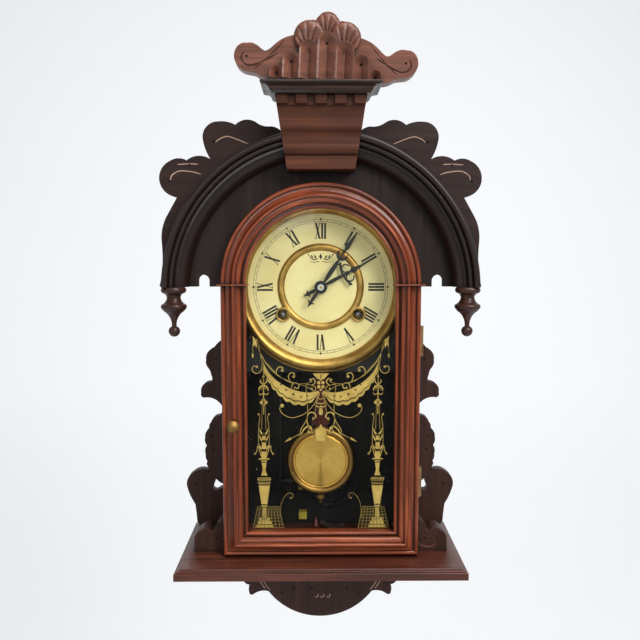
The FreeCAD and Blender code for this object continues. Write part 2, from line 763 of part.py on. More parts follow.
def dial_plate():
    plate = post(0, 0, dial_radius, dial_face, dial_board_front)
    plate = plate.cut(post(0, 0, 4.4, -80, -60))
    for side in (-1, 1):
        plate = plate.cut(post(side * winding_x, winding_z, eyelet_hole, -80, -60))
    return plate


def dial_bezel():
    """A half-round brass ring with a flange that covers the edge of the dial."""
    y = dial_face
    return turned_about_y((dial_visible_radius, y), [
        (dial_visible_radius, y - 0.6), ((77.4, y - 7.2), (81.2, y - 10)), ((85.6, y - 7.6), (87, y - 2.6)),
        (89.2, y - 1.6), (89.2, dial_board_front), (dial_radius + 0.1, dial_board_front),
        (dial_radius + 0.1, y)], 0, 0)


def dial_inner_ring():
    y = dial_face
    low, high = inner_ring
    middle = (low + high) / 2
    ring = turned_about_y((low, y), [((middle, y - 2.4), (high, y))], 0, 0)
    for side in (-1, 1):
        x, z = side * winding_x, winding_z
        half = (eyelet_hole + eyelet_outer) / 2
        eyelet = turned_about_y((eyelet_hole, y), [
            (eyelet_hole, y - 1.6), ((half, y - 2.5), (eyelet_outer, y - 1.0)), (eyelet_outer, y)], x, z)
        ring = ring.fuse(eyelet)
        ring = ring.cut(post(x, z, eyelet_hole, -90, -60))
    return ring.removeSplitter()


def turned_clockwise(shape, degrees):
    shape.rotate(vec(0, 0, 0), vec(0, 1, 0), degrees)
    return shape


def blade(narrow, wide, z0, z1, y0, y1):
    """A leaf-shaped stretch of a hand, symmetrical about its middle line."""
    middle = (z0 + z1) / 2
    return board((narrow, z0), [((wide, middle), (narrow, z1)), (-narrow, z1),
                                ((-wide, middle), (-narrow, z0))], y0, y1)


def hand_tail(length, y0, y1):
    """The short end of a hand: a leaf-shaped stem with three points."""
    stem = blade(0.8, 1.8, -length + 4.6, -5.4, y0, y1)
    point = board((0.3, -length), [(1.5, -length + 4.0), (3.7, -length + 5.6), (3.4, -length + 6.4),
                                   (0.8, -length + 6.2), (0.8, -length + 7.6), (-0.8, -length + 7.6),
                                   (-0.8, -length + 6.2), (-3.4, -length + 6.4), (-3.7, -length + 5.6),
                                   (-1.5, -length + 4.0), (-0.3, -length)], y0, y1)
    return join([stem, point])


def hub(y0, y1, hole):
    return [tube(0, 0, 6.6, hole, y0, y1)]


def hour_hand():
    y0, y1 = hour_hand_y - hand_thickness, hour_hand_y
    pieces = hub(y0, y1, hour_seat_radius)
    pieces += [blade(0.9, 1.9, 5.8, 26.6, y0, y1), box(-1.1, 1.1, y0, y1, 25.6, 37.4)]
    pieces.append(board((0, 25.4), [
        ((6.0, 25.7), (11.0, 27.6)), (11.4, 26.2), (12.5, 26.9), (12.4, 28.3), (13.4, 29.6), (12.2, 30.6),
        (10.4, 29.7), ((5.6, 27.8), (0, 27.8)), ((-5.6, 27.8), (-10.4, 29.7)), (-12.2, 30.6),
        (-13.4, 29.6), (-12.4, 28.3), (-12.5, 26.9), (-11.4, 26.2), (-11.0, 27.6),
        ((-6.0, 25.7), (0, 25.4))], y0, y1))
    for side in (-1, 1):
        curl = tube(side * 5.2, 31.6, 4.7, 3.3, y0, y1)
        low, high = sorted((side * 1.1, side * 5.0))
        pieces.append(curl.cut(box(low, high, y0 - 1, y1 + 1, 32.6, 37)))
    pieces.append(board((-0.4, 55), [((-1.3, 46), (-2.8, 38.4)), ((-2.7, 36.4), (-0.9, 35.6)),
                                     (0.9, 35.6), ((2.7, 36.4), (2.8, 38.4)), ((1.3, 46), (0.4, 55))], y0, y1))
    pieces.append(hand_tail(20, y0, y1))
    return turned_clockwise(join(pieces), hour_angle)


def minute_hand():
    y0, y1 = minute_hand_y - hand_thickness, minute_hand_y
    pieces = hub(y0, y1, minute_seat_radius)
    pieces += [blade(0.9, 2.4, 5.8, 34.0, y0, y1), box(-0.8, 0.8, y0, y1, 33, 46.2)]
    crescent = post(0, 39.6, 6.0, y0, y1).cut(post(0, 41.5, 4.6, y0 - 1, y1 + 1))
    pieces.append(crescent.cut(box(-8, 8, y0 - 1, y1 + 1, 43.4, 48)))
    pieces.append(box(-1.9, 1.9, y0, y1, 43.8, 44.9))
    pieces.append(board((-0.4, 67.6), [((-1.4, 59.5), (-2.4, 51.0)), ((-2.1, 47.6), (-0.8, 45.4)),
                                       (0.8, 45.4), ((2.1, 47.6), (2.4, 51.0)), ((1.4, 59.5), (0.4, 67.6))],
                        y0, y1))
    pieces.append(hand_tail(24, y0, y1))
    return turned_clockwise(join(pieces), minute_angle)


def hand_nut():
    return tube(0, 0, 3.3, pivot_radius, -82.4, minute_hand_y - hand_thickness)


# ---------------------------------------------------------------- movement

train_places = {"centre": (0.0, 0.0)}
train_places["great"] = (winding_x, winding_z)
great_gap = great_module * (great_teeth + second_pinion) / 2
second_gap = second_module * (second_teeth + centre_pinion) / 2
centre_gap = centre_module * (centre_teeth + third_pinion) / 2
third_gap = third_module * (third_teeth + escape_pinion) / 2
train_places["second"] = circle_meet(train_places["great"], great_gap, train_places["centre"], second_gap, -1)
train_places["third"] = circle_meet(train_places["centre"], centre_gap, escape_place, third_gap, -1)
train_places["strike_great"] = (-winding_x, winding_z)
train_places["strike_second"] = (-train_places["second"][0], train_places["second"][1])
fly_gap = second_module * (second_teeth + fly_pinion) / 2
train_places["fly"] = (train_places["strike_second"][0] - 0.5 * fly_gap,
                       train_places["strike_second"][1] + math.sqrt(0.75) * fly_gap)
motion_gap = motion_module * (cannon_teeth + minute_teeth) / 2
train_places["minute"] = (motion_gap * math.cos(math.radians(-50)), motion_gap * math.sin(math.radians(-50)))
pivot_names = ("second", "third", "strike_second", "fly")


def plate_outline(y0, y1):
    plate = box(-plate_half_width, plate_half_width, y0, y1, plate_bottom, plate_top)
    corners = [e for e in plate.Edges if abs(e.Vertexes[0].Point.y - e.Vertexes[1].Point.y) > 1]
    plate = plate.makeFillet(6, corners)
    plate = plate.cut(box(-24, 24, y0 - 1, y1 + 1, -56, -36))
    for side in (-1, 1):
        low, high = sorted((side * 18, side * 44))
        plate = plate.cut(box(low, high, y0 - 1, y1 + 1, 30, 44))
    return plate


def drilled(plate, places, radius):
    """The plate with a running hole for each arbor of one radius."""
    for x, z in places:
        plate = plate.cut(post(x, z, radius + running_gap, front_plate_back - 10, back_plate_back + 10))
    return plate


def pivot_places():
    return [train_places[name] for name in pivot_names] + [escape_place, hammer_place]


def winding_places():
    return [train_places["great"], train_places["strike_great"]]


def movement_plate_back():
    plate = plate_outline(back_plate_back - plate_thickness, back_plate_back)
    plate = drilled(plate, pivot_places() + [train_places["centre"], anchor_place], pivot_radius)
    plate = drilled(plate, winding_places(), winding_pivot_radius)
    for shank in seat_screw_shanks():
        plate = plate.cut(shank)
    return plate


def movement_plate_front():
    plate = plate_outline(front_plate_back - plate_thickness, front_plate_back)
    plate = drilled(plate, pivot_places(), pivot_radius)
    plate = drilled(plate, [train_places["centre"]], cannon_radius)
    plate = drilled(plate, [anchor_place], anchor_arbor_radius)
    return drilled(plate, winding_places(), winding_radius)


def movement_pillars():
    """Four pillars between the plates, the stud of the minute wheel and the suspension cock."""
    y0, y1 = front_plate_back, back_plate_back - plate_thickness
    pieces = [post(x, z, pillar_radius, y0, y1) for x, z in pillar_places]
    mx, mz = train_places["minute"]
    pieces.append(post(mx, mz, minute_stud_radius, motion_y - 4.0, front_plate_back - plate_thickness))
    cock = box(-3, 3, -61, front_plate_back - plate_thickness, 61.5, 68.5)
    pieces.append(cock.cut(box(-0.2, 0.2, -62, -54, 60, 68)))
    return group(pieces)


def movement_seat():
    """Two battens on the back board that carry the back plate."""
    battens = both_sides(box(seat_inner, seat_outer, back_plate_back, -back_thickness,
                             plate_bottom - 10, plate_top - 4))
    for shank in seat_screw_shanks():
        battens = battens.cut(shank)
    return battens


def mainsprings():
    coil = spiral_strip((winding_x, winding_z), 5.2, 2.4, 8, 0.6, -42.5, -28.0)
    return both_sides(coil)


def suspension_spring():
    return box(-0.2, 0.2, -60.5, -55.5, anchor_place[1] + 0.3, 67.5)


def great_wheel(place, partner):
    y0, y1 = great_y - 2.0, great_y
    wheel = gear(place, great_teeth, great_module, y0, y1, heading(place, partner))
    wheel = spoked(wheel, place, 8.0, 20.5, y0, y1, 4)
    return drilled(wheel, [place], winding_arbor_radius)


def going_great_wheel():
    return great_wheel(train_places["great"], train_places["second"])


def strike_great_wheel():
    return great_wheel(train_places["strike_great"], train_places["strike_second"])


def winding_arbor(side):
    """A square-ended arbor that winds the spring, with its ratchet in front of the great wheel."""
    x, z = side * winding_x, winding_z
    half = winding_square
    inner_back, inner_front = back_plate_back - plate_thickness - 0.3, front_plate_back + 0.6
    pivot = post(x, z, winding_pivot_radius, inner_back, back_plate_back + 0.6)
    barrel = post(x, z, winding_arbor_radius, inner_front, inner_back)
    neck = post(x, z, winding_radius, inner_front - 5.1, inner_front)
    square = box(x - half, x + half, dial_face + 1.4, inner_front - 5.1, z - half, z + half)
    ratchet = gear((x, z), 20, 0.5, great_y - 3.6, great_y - 2.3, 0)
    return join([pivot, barrel, neck, square, ratchet])


def going_winding_arbor():
    return winding_arbor(1)


def strike_winding_arbor():
    return winding_arbor(-1)


def driven(own, driver, teeth):
    """Start angle that puts a gap on the line towards the driving wheel."""
    return heading(own, driver) + math.pi / teeth


def going_second_wheel():
    place, centre, great = train_places["second"], train_places["centre"], train_places["great"]
    y0, y1 = second_y - 1.4, second_y
    wheel = gear(place, second_teeth, second_module, y0, y1, heading(place, centre))
    wheel = spoked(wheel, place, 5.0, 17.5, y0, y1, 4)
    pinion = gear(place, second_pinion, great_module, great_y - 4.0, great_y + 1.5,
                  driven(place, great, second_pinion))
    return join([wheel, pinion] + arbor(place))


def center_wheel():
    """The minute arbor: pinion, centre wheel, arbor through the front plate and cannon pinion."""
    centre, second, third = train_places["centre"], train_places["second"], train_places["third"]
    y0, y1 = centre_y - 1.2, centre_y
    wheel = gear(centre, centre_teeth, centre_module, y0, y1, heading(centre, third))
    wheel = spoked(wheel, centre, 5.0, 16.4, y0, y1, 4)
    pinion = gear(centre, centre_pinion, second_module, second_y - 2.2, second_y + 1.5,
                  driven(centre, second, centre_pinion))
    cannon = gear(centre, cannon_teeth, motion_module, motion_y - 1.2, motion_y,
                  heading(centre, train_places["minute"]))
    shaft = [post(0, 0, arbor_radius, front_plate_back, back_plate_back - plate_thickness - 0.3),
             post(0, 0, pivot_radius, back_plate_back - plate_thickness - 0.4, back_plate_back + 0.6),
             post(0, 0, cannon_radius, minute_hand_y, front_plate_back + 0.4),
             post(0, 0, minute_seat_radius, minute_hand_y - hand_thickness, minute_hand_y),
             post(0, 0, pivot_radius, -82.8, minute_hand_y - hand_thickness)]
    return join([wheel, pinion, cannon] + shaft)


def third_wheel():
    place, centre = train_places["third"], train_places["centre"]
    y0, y1 = third_y - 1.2, third_y
    wheel = gear(place, third_teeth, third_module, y0, y1, heading(place, escape_place))
    wheel = spoked(wheel, place, 4.0, 12.6, y0, y1, 4)
    pinion = gear(place, third_pinion, centre_module, centre_y - 3.0, centre_y + 1.2,
                  driven(place, centre, third_pinion))
    return join([wheel, pinion] + arbor(place, thick=1.4))


def escape_wheel():
    place, third = escape_place, train_places["third"]
    y0, y1 = escape_y - 1.2, escape_y
    points = []
    for k in range(escape_teeth):
        for radius, turn in ((escape_radius - 2.2, 0.0), (escape_radius, 0.18), (escape_radius, 0.26),
                             (escape_radius - 2.2, 0.42)):
            a = 2 * math.pi * (k + turn) / escape_teeth
            points.append(vec(place[0] + radius * math.cos(a), y0, place[1] + radius * math.sin(a)))
    wheel = Part.Face(Part.makePolygon(points + points[:1])).extrude(vec(0, y1 - y0, 0))
    wheel = spoked(wheel, place, 3.2, 8.8, y0, y1, 4)
    pinion = gear(place, escape_pinion, third_module, third_y - 2.6, third_y + 1.5,
                  driven(place, third, escape_pinion))
    return join([wheel, pinion] + arbor(place, thick=1.2))


def anchor():
    """The anchor between the plates, its arbor, and in front the crutch that pushes the pendulum."""
    x, z = anchor_place
    y0, y1 = escape_y - 2.4, escape_y + 0.6
    pieces = [tube(x, z, 3.2, 1.0, y0, y1)]
    for side in (-1, 1):
        arm = board((side * 1.5, z + 2.2), [(side * 14.6, z - 7.6), (side * 15.0, z - 12.2),
                                            (side * 11.6, z - 9.4), (side * 1.5, z - 1.8)], y0, y1)
        pieces.append(arm)
    pieces += arbor((x, z), thick=anchor_arbor_radius)
    pieces += [post(x, z, anchor_arbor_radius, -55.0, front_plate_back + 0.4), post(x, z, 2.6, -55.0, -53.4)]
    pieces.append(box(-1.5, 1.5, -54.8, -53.6, 29.6, z))
    pieces.append(post(0, 31, 1.0, -60.2, -53.6))
    return join(pieces)


def minute_wheel():
    place, centre = train_places["minute"], train_places["centre"]
    y0, y1 = motion_y - 1.2, motion_y
    wheel = gear(place, minute_teeth, motion_module, y0, y1, driven(place, centre, minute_teeth))
    wheel = spoked(wheel, place, 3.4, 7.4, y0, y1, 4)
    pinion = gear(place, minute_pinion, motion_module_hour, motion_y - 3.6, y0, heading(place, centre))
    return drilled(join([wheel, pinion]), [place], minute_stud_radius)


def hour_wheel():
    centre, minute = train_places["centre"], train_places["minute"]
    y0, y1 = motion_y - 3.4, motion_y - 2.2
    wheel = gear(centre, hour_teeth, motion_module_hour, y0, y1, driven(centre, minute, hour_teeth))
    wheel = spoked(wheel, centre, 4.6, 8.0, y0, y1, 4)
    pipe = join([post(0, 0, hour_pipe_radius, hour_hand_y, y1),
                 post(0, 0, hour_seat_radius, hour_hand_y - hand_thickness, hour_hand_y)])
    return join([wheel, pipe]).cut(post(0, 0, cannon_radius + running_gap, -90, -40))


def strike_second_wheel():
    place, great, fly = train_places["strike_second"], train_places["strike_great"], train_places["fly"]
    y0, y1 = strike_second_y - 1.2, strike_second_y
    wheel = gear(place, second_teeth, second_module, y0, y1, heading(place, fly))
    wheel = spoked(wheel, place, 5.0, 17.5, y0, y1, 4)
    pinion = gear(place, second_pinion, great_module, great_y - 4.0, great_y + 1.5,
                  driven(place, great, second_pinion))
    return join([wheel, pinion] + arbor(place))


def strike_fly():
    """The air brake of the strike: two vanes on a thin arbor."""
    place, second = train_places["fly"], train_places["strike_second"]
    pinion = gear(place, fly_pinion, second_module, strike_second_y - 1.4, strike_second_y + 1.0,
                  driven(place, second, fly_pinion))
    x, z = place
    vanes = box(x - 8.5, x + 8.5, -42.0, -24.0, z - 0.4, z + 0.4)
    return join([pinion, vanes] + arbor(place, thick=1.3))


def hammer():
    """The strike hammer: arbor between the plates, wire down to the gong and a head."""
    x, z = hammer_place
    y, low = hammer_wire_y, hammer_head_z
    wire = box(x - 1.0, x + 1.0, y - 1.0, y + 1.0, low - 0.6, z - 1.0)
    head = Part.makeCylinder(4.2, 13.0, vec(x + 4.5, y, low), vec(1, 0, 0))
    neck = Part.makeCylinder(1.6, 6.5, vec(x - 1.5, y, low), vec(1, 0, 0))
    boss = post(x, z, 2.6, y - 1.8, y + 1.8)
    return join([wire, head, neck, boss] + arbor((x, z), thick=anchor_arbor_radius))


# ---------------------------------------------------------------- pendulum and key

def pendulum_leader():
    """A brass strip from the suspension down to the rod, with a ring round the hand arbor."""
    y0, y1 = pendulum_y, pendulum_y + 1.0
    half = strip_half_width
    strip = [box(-half, half, y0, y1, 12.0, anchor_place[1] - 0.2),
             box(-half, half, y0, y1, -78.0, -12.0), tube(0, 0, 13.0, 9.6, y0, y1)]
    whole = join(strip)
    slot = box(-1.1, 1.1, y0 - 1, y1 + 1, 28.0, 35.0)
    return whole.cut(slot)


def pendulum_rod():
    """A flat wooden rod that widens into a shoulder just above the bob."""
    y0, y1 = pendulum_y - rod_thickness, pendulum_y
    half = rod_half_width
    return board((-half, -66), [(half, -66), (half, -128), ((half + 1.2, -136), (half + 3.6, -143)),
                                (half + 3.6, -147), (3.0, -152), (3.0, bob_z), (-3.0, bob_z), (-3.0, -152),
                                (-half - 3.6, -147), (-half - 3.6, -143),
                                ((-half - 1.2, -136), (-half, -128))], y0, y1)


def pendulum_bob():
    """A dished brass disc with a raised rim, its lug on the rod, and the rating screw below."""
    y = pendulum_y - rod_thickness
    r = bob_radius
    face = turned_about_y((0, y), [
        (0, y - 3.4), (27.0, y - 3.4), ((28.2, y - 2.2), (29.6, y - 3.0)),
        ((33.6, y - 5.6), (36.4, y - 2.6)), ((r, y - 1.4), (r, y)), (34.5, y)], 0, bob_z)
    screw = Part.makeCylinder(rating_screw_radius, 13.0, vec(0, y + 1.8, bob_z - r - 11.0), vec(0, 0, 1))
    lug = box(-3.0, 3.0, y, y + 3.5, bob_z - bob_radius + 1.0, bob_z - 6.0)
    return join([face, lug, screw])


def rating_nut():
    """The knurled nut under the bob, with a pointed end."""
    y = pendulum_y - rod_thickness + 1.8
    top = bob_z - bob_radius - 1.6
    bore = rating_screw_radius + running_gap
    return turned_about_z((bore, top), [
        (4.0, top), (4.6, top - 0.6), (4.6, top - 3.2), (4.0, top - 3.8), (2.6, top - 4.4),
        (bore, top - 6.6)], 0, y)


def winding_key():
    """The key lying on the case floor: square-socketed stem and two wings."""
    half = winding_square + 0.15
    stem = Part.makeCylinder(3.2, 22.0, vec(0, 0, 0), vec(0, -1, 0))
    bore = box(-half, half, -14, 1, -half, half)
    wings = box(-13, 13, -24, -22, -3, 3)
    for side in (-1, 1):
        wings = wings.cut(post(side * 8.0, 0, 1.8, -25, -21))
    key = join([stem.cut(bore), wings])
    key.rotate(vec(0, 0, 0), vec(0, 0, 1), key_turn)
    key.translate(vec(key_place[0], key_place[1], shelf_top + 3.4))
    return key


# ---------------------------------------------------------------- writing the parts

door_nodes = [door_arch, door_stiles, door_bottom_rail, door_glass, glass_bead, door_knob, hinge_door_leaves]
case_nodes = [back_board, case_sides, case_top, base_shelf, bottom_apron, side_ornaments, scroll_brackets,
              hood_panel, hood_moulding, hood_ears, drop_finials, keystone, keystone_cap, crest_board,
              hanger_plate, wood_screws, hinge_case_leaves, gong_coil, gong_post, beat_pointer,
              dial_board, dial_plate, dial_bezel, dial_inner_ring]
movement_nodes = [movement_plate_back, movement_plate_front, movement_pillars, movement_seat, mainsprings,
                  suspension_spring, going_great_wheel, strike_great_wheel, going_winding_arbor,
                  strike_winding_arbor, going_second_wheel, center_wheel, third_wheel, escape_wheel,
                  anchor, minute_wheel, hour_wheel, strike_second_wheel, strike_fly, hammer]
hand_nodes = [hour_hand, minute_hand, hand_nut]
pendulum_nodes = [pendulum_leader, pendulum_rod, pendulum_bob, rating_nut, winding_key]


def export(name, shape):
    """Write one part with the hanger hole at the origin."""
    moved = shape.copy()
    moved.translate(vec(0, 0, -hanger_height))
    moved.exportStep(os.path.join("parts", name + ".step"))


os.makedirs("parts", exist_ok=True)
for make in case_nodes + door_nodes + movement_nodes + hand_nodes + pendulum_nodes:
    export(make.__name__, make())
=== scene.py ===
import bpy
import bmesh
import json
import math
from mathutils import Matrix, Vector

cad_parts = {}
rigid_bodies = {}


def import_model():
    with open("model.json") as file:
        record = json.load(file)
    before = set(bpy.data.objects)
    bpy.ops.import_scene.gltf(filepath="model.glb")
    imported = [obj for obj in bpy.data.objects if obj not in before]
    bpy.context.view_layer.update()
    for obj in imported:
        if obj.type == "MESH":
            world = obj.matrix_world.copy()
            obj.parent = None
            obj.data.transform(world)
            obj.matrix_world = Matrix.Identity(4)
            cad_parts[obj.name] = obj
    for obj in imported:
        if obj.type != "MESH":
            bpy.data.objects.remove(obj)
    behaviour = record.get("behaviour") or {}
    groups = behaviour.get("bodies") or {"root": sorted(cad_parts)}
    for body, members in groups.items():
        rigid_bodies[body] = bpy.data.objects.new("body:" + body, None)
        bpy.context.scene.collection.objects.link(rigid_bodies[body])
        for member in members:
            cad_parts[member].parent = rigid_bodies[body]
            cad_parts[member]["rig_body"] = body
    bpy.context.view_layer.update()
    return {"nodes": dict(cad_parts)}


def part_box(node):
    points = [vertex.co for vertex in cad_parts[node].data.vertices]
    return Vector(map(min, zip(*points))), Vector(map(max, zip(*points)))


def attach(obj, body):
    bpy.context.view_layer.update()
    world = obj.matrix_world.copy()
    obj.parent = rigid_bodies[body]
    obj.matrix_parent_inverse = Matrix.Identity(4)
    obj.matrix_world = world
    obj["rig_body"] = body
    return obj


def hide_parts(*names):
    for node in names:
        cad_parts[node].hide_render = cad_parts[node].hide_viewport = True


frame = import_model()
nodes = frame["nodes"]
mm = 0.001


def lowCorner(node):
    return Vector(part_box(node)[0])


def highCorner(node):
    return Vector(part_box(node)[1])


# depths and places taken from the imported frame, in millimetres about the dial centre
dialMiddle = (lowCorner("dial_plate") + highCorner("dial_plate")) / 2
dialFront = lowCorner("dial_plate").y / mm
glassBack = highCorner("door_glass").y / mm
crestFace = lowCorner("crest_board").y / mm
earFace = lowCorner("hood_ears").y / mm
wallFace = lowCorner("bottom_apron").y / mm
bracketFace = lowCorner("scroll_brackets").y / mm


def spot(x, y, z):
    return Vector((x * mm, y * mm, dialMiddle.z + z * mm))


print("frame loaded:", len(nodes), "nodes")


# sRGB 0-255 to linear
def paint(red, green, blue):
    return tuple(c / 12.92 if c <= 0.04045 else ((c + 0.055) / 1.055) ** 2.4
                 for c in (red / 255, green / 255, blue / 255)) + (1.0,)


def grey(value):
    return (value, value, value, 1.0)


white, black = grey(1.0), grey(0.0)


# a material being wired up, with short calls for its nodes
class Finish:
    def __init__(self, name):
        self.material = bpy.data.materials.new(name)
        self.material.use_nodes = True
        self.tree = self.material.node_tree
        self.surface = self.tree.nodes["Principled BSDF"]
        self.output = self.tree.nodes["Material Output"]

    def node(self, kind, **settings):
        made = self.tree.nodes.new(kind)
        for key, value in settings.items():
            setattr(made, key, value)
        return made

    def link(self, fromSocket, toSocket):
        self.tree.links.new(fromSocket, toSocket)

    def feed(self, socket, value):  # a fixed value or another node's output
        if isinstance(value, (int, float, tuple)):
            socket.default_value = value
        else:
            self.link(value, socket)

    def math(self, operation, first, second=0.0):
        made = self.node("ShaderNodeMath", operation=operation)
        self.feed(made.inputs[0], first)
        self.feed(made.inputs[1], second)
        return made.outputs[0]

    def distance(self, first, second):  # how far out, from two offsets
        squares = (self.math("MULTIPLY", first, first), self.math("MULTIPLY", second, second))
        return self.math("SQRT", self.math("ADD", *squares))

    def stretched(self, vector, scale):
        made = self.node("ShaderNodeMapping")
        made.inputs["Scale"].default_value = scale
        self.link(vector, made.inputs["Vector"])
        return made.outputs[0]

    def noise(self, vector, scale, detail=4.0, rough=0.55):
        made = self.node("ShaderNodeTexNoise")
        made.inputs["Scale"].default_value = scale
        made.inputs["Detail"].default_value = detail
        made.inputs["Roughness"].default_value = rough
        self.link(vector, made.inputs["Vector"])
        return made.outputs[0]

    def ramp(self, factor, *stops):
        made = self.node("ShaderNodeValToRGB")
        elements = made.color_ramp.elements
        while len(elements) < len(stops):
            elements.new(0.5)
        for element, (place, colour) in zip(elements, stops):
            element.position = place
            element.color = colour
        self.link(factor, made.inputs[0])
        return made.outputs[0]

    def mix(self, factor, first, second, blend="MIX"):
        made = self.node("ShaderNodeMix", data_type="RGBA", blend_type=blend)
        for k, value in ((0, factor), (6, first), (7, second)):
            self.feed(made.inputs[k], value)
        return made.outputs[2]

    def place(self):
        return self.node("ShaderNodeTexCoord").outputs["Object"]

    def rings(self, radius, scale, detail, rough):  # turning marks
        joined = self.node("ShaderNodeCombineXYZ")
        self.link(radius, joined.inputs[0])
        return self.noise(joined.outputs[0], scale, detail, rough)

    def baseColour(self, source):
        self.link(source, self.surface.inputs["Base Color"])

    def roughness(self, factor, low, high):
        self.link(self.ramp(factor, (0.3, grey(low)), (0.7, grey(high))), self.surface.inputs["Roughness"])

    def rounded(self, radius):  # normals softened at the edges, as on sanded corners
        made = self.node("ShaderNodeBevel", samples=4)
        made.inputs["Radius"].default_value = radius
        return made.outputs[0]

    def bump(self, height, strength, distance, normal):
        made = self.node("ShaderNodeBump")
        made.inputs["Strength"].default_value = strength
        made.inputs["Distance"].default_value = distance
        self.link(height, made.inputs["Height"])
        self.link(normal, made.inputs["Normal"])
        self.link(made.outputs[0], self.surface.inputs["Normal"])

    def set(self, **values):
        for name, value in values.items():
            self.surface.inputs[name.replace("_", " ")].default_value = value


arcLength = 0.12  # metres of grain for each radian round an arch


# a place vector whose third part runs along the wood's grain
def grainVector(f, grain, centre):
    place = f.place()
    parts = f.node("ShaderNodeSeparateXYZ")
    f.link(place, parts.inputs[0])
    x, y, z = parts.outputs
    joined = f.node("ShaderNodeCombineXYZ")
    if grain == "up":
        order = (x, y, z)
    elif grain == "across":
        order = (z, y, x)
    else:
        rise = f.math("SUBTRACT", z, centre)
        order = (f.distance(x, rise), y, f.math("MULTIPLY", f.math("ARCTAN2", x, rise), arcLength))
    for source, socket in zip(order, joined.inputs):
        f.link(source, socket)
    return joined.outputs[0]


woodGrain = {"streakScale": 150.0, "streakStretch": 0.05, "poreScale": 900.0, "poreStretch": 0.03,
             "cloudScale": 14.0, "poreBump": 0.25, "edge": 0.0007, "grooveShadeReach": 0.006}


# hollows darkened by ambient occlusion are painted shade; edges lightened towards the tint are partly real
# wear, partly painted highlight
def wood(name, dark, mid, light, grain="up", centre=0.0, rough=0.35, coat=0.3, grooveShade=0.35, wearAndHighlight=0.5,
         wearHighlightTint=None):
    f = Finish(name)
    g = woodGrain
    vector = grainVector(f, grain, centre)
    streaks = f.noise(f.stretched(vector, (1, 1, g["streakStretch"])), g["streakScale"], 6.0, 0.6)
    pores = f.noise(f.stretched(vector, (1, 1, g["poreStretch"])), g["poreScale"], 2.0, 0.5)
    clouds = f.noise(vector, g["cloudScale"], 3.0, 0.5)
    body = f.ramp(streaks, (0.30, dark), (0.5, mid), (0.72, light))
    body = f.mix(f.ramp(clouds, (0.35, black), (0.7, white)), body, f.mix(0.55, body, dark))
    body = f.mix(f.ramp(pores, (0.36, white), (0.47, black)), body, f.mix(0.6, body, dark))
    # painted shade: ambient occlusion darkens hollows and grooves where shade falls
    hollow = f.node("ShaderNodeAmbientOcclusion", samples=6)
    hollow.inputs["Distance"].default_value = g["grooveShadeReach"]
    shade = f.ramp(hollow.outputs["AO"], (0.35, grey(grooveShade)), (0.92, white))
    body = f.mix(1.0, body, shade, "MULTIPLY")
    edge = f.rounded(g["edge"])
    facing = f.node("ShaderNodeVectorMath", operation="DOT_PRODUCT")
    f.link(edge, facing.inputs[0])
    f.link(f.node("ShaderNodeNewGeometry").outputs["Normal"], facing.inputs[1])
    # edges lightened towards the tint: partly real wear, partly painted highlight on lit ridges
    wornAndLitEdge = f.ramp(facing.outputs["Value"], (0.86, white), (0.985, black))
    wornAndLitEdge = f.mix(1.0, wornAndLitEdge, f.ramp(clouds, (0.4, black), (0.62, white)), "MULTIPLY")
    wornAndLitEdge = f.mix(1.0, wornAndLitEdge, grey(wearAndHighlight), "MULTIPLY")
    body = f.mix(wornAndLitEdge, body, wearHighlightTint or light)
    f.baseColour(body)
    f.roughness(streaks, rough + 0.1, rough - 0.06)
    f.set(Coat_Weight=coat, Coat_Roughness=0.14, Specular_IOR_Level=0.22)
    f.bump(pores, g["poreBump"], 0.00012, edge)
    return f.material


brassLook = {"tarnishScale": 60.0, "fineScale": 700.0, "ringScale": 2200.0}


# brass with cloudy tarnish; turned brass has fine rings about an axis along Y
def brass(name, bright, dull, rough=0.28, turnedAbout=None):
    f = Finish(name)
    place = f.place()
    clouds = f.noise(place, brassLook["tarnishScale"], 5.0, 0.6)
    f.baseColour(f.mix(f.ramp(clouds, (0.38, black), (0.66, white)), bright, dull))
    f.set(Metallic=1.0)
    if turnedAbout is None:
        fine = f.noise(place, brassLook["fineScale"], 2.0)
        f.roughness(clouds, rough - 0.05, rough + 0.12)
        f.bump(fine, 0.12, 0.0001, f.rounded(0.0004))
        return f.material
    parts = f.node("ShaderNodeSeparateXYZ")
    f.link(place, parts.inputs[0])
    dx = f.math("SUBTRACT", parts.outputs[0], turnedAbout[0])
    dz = f.math("SUBTRACT", parts.outputs[2], turnedAbout[1])
    rings = f.rings(f.distance(dx, dz), brassLook["ringScale"], 2.0, 0.6)
    f.set(Roughness=rough)
    f.bump(rings, 0.18, 0.00008, f.rounded(0.0005))
    return f.material


bobLook = {"radius": 0.037, "disc": 0.0286, "rim": 0.0298, "wedge": 0.07, "tarnishScale": 46.0,
           "ringScale": 2400.0}


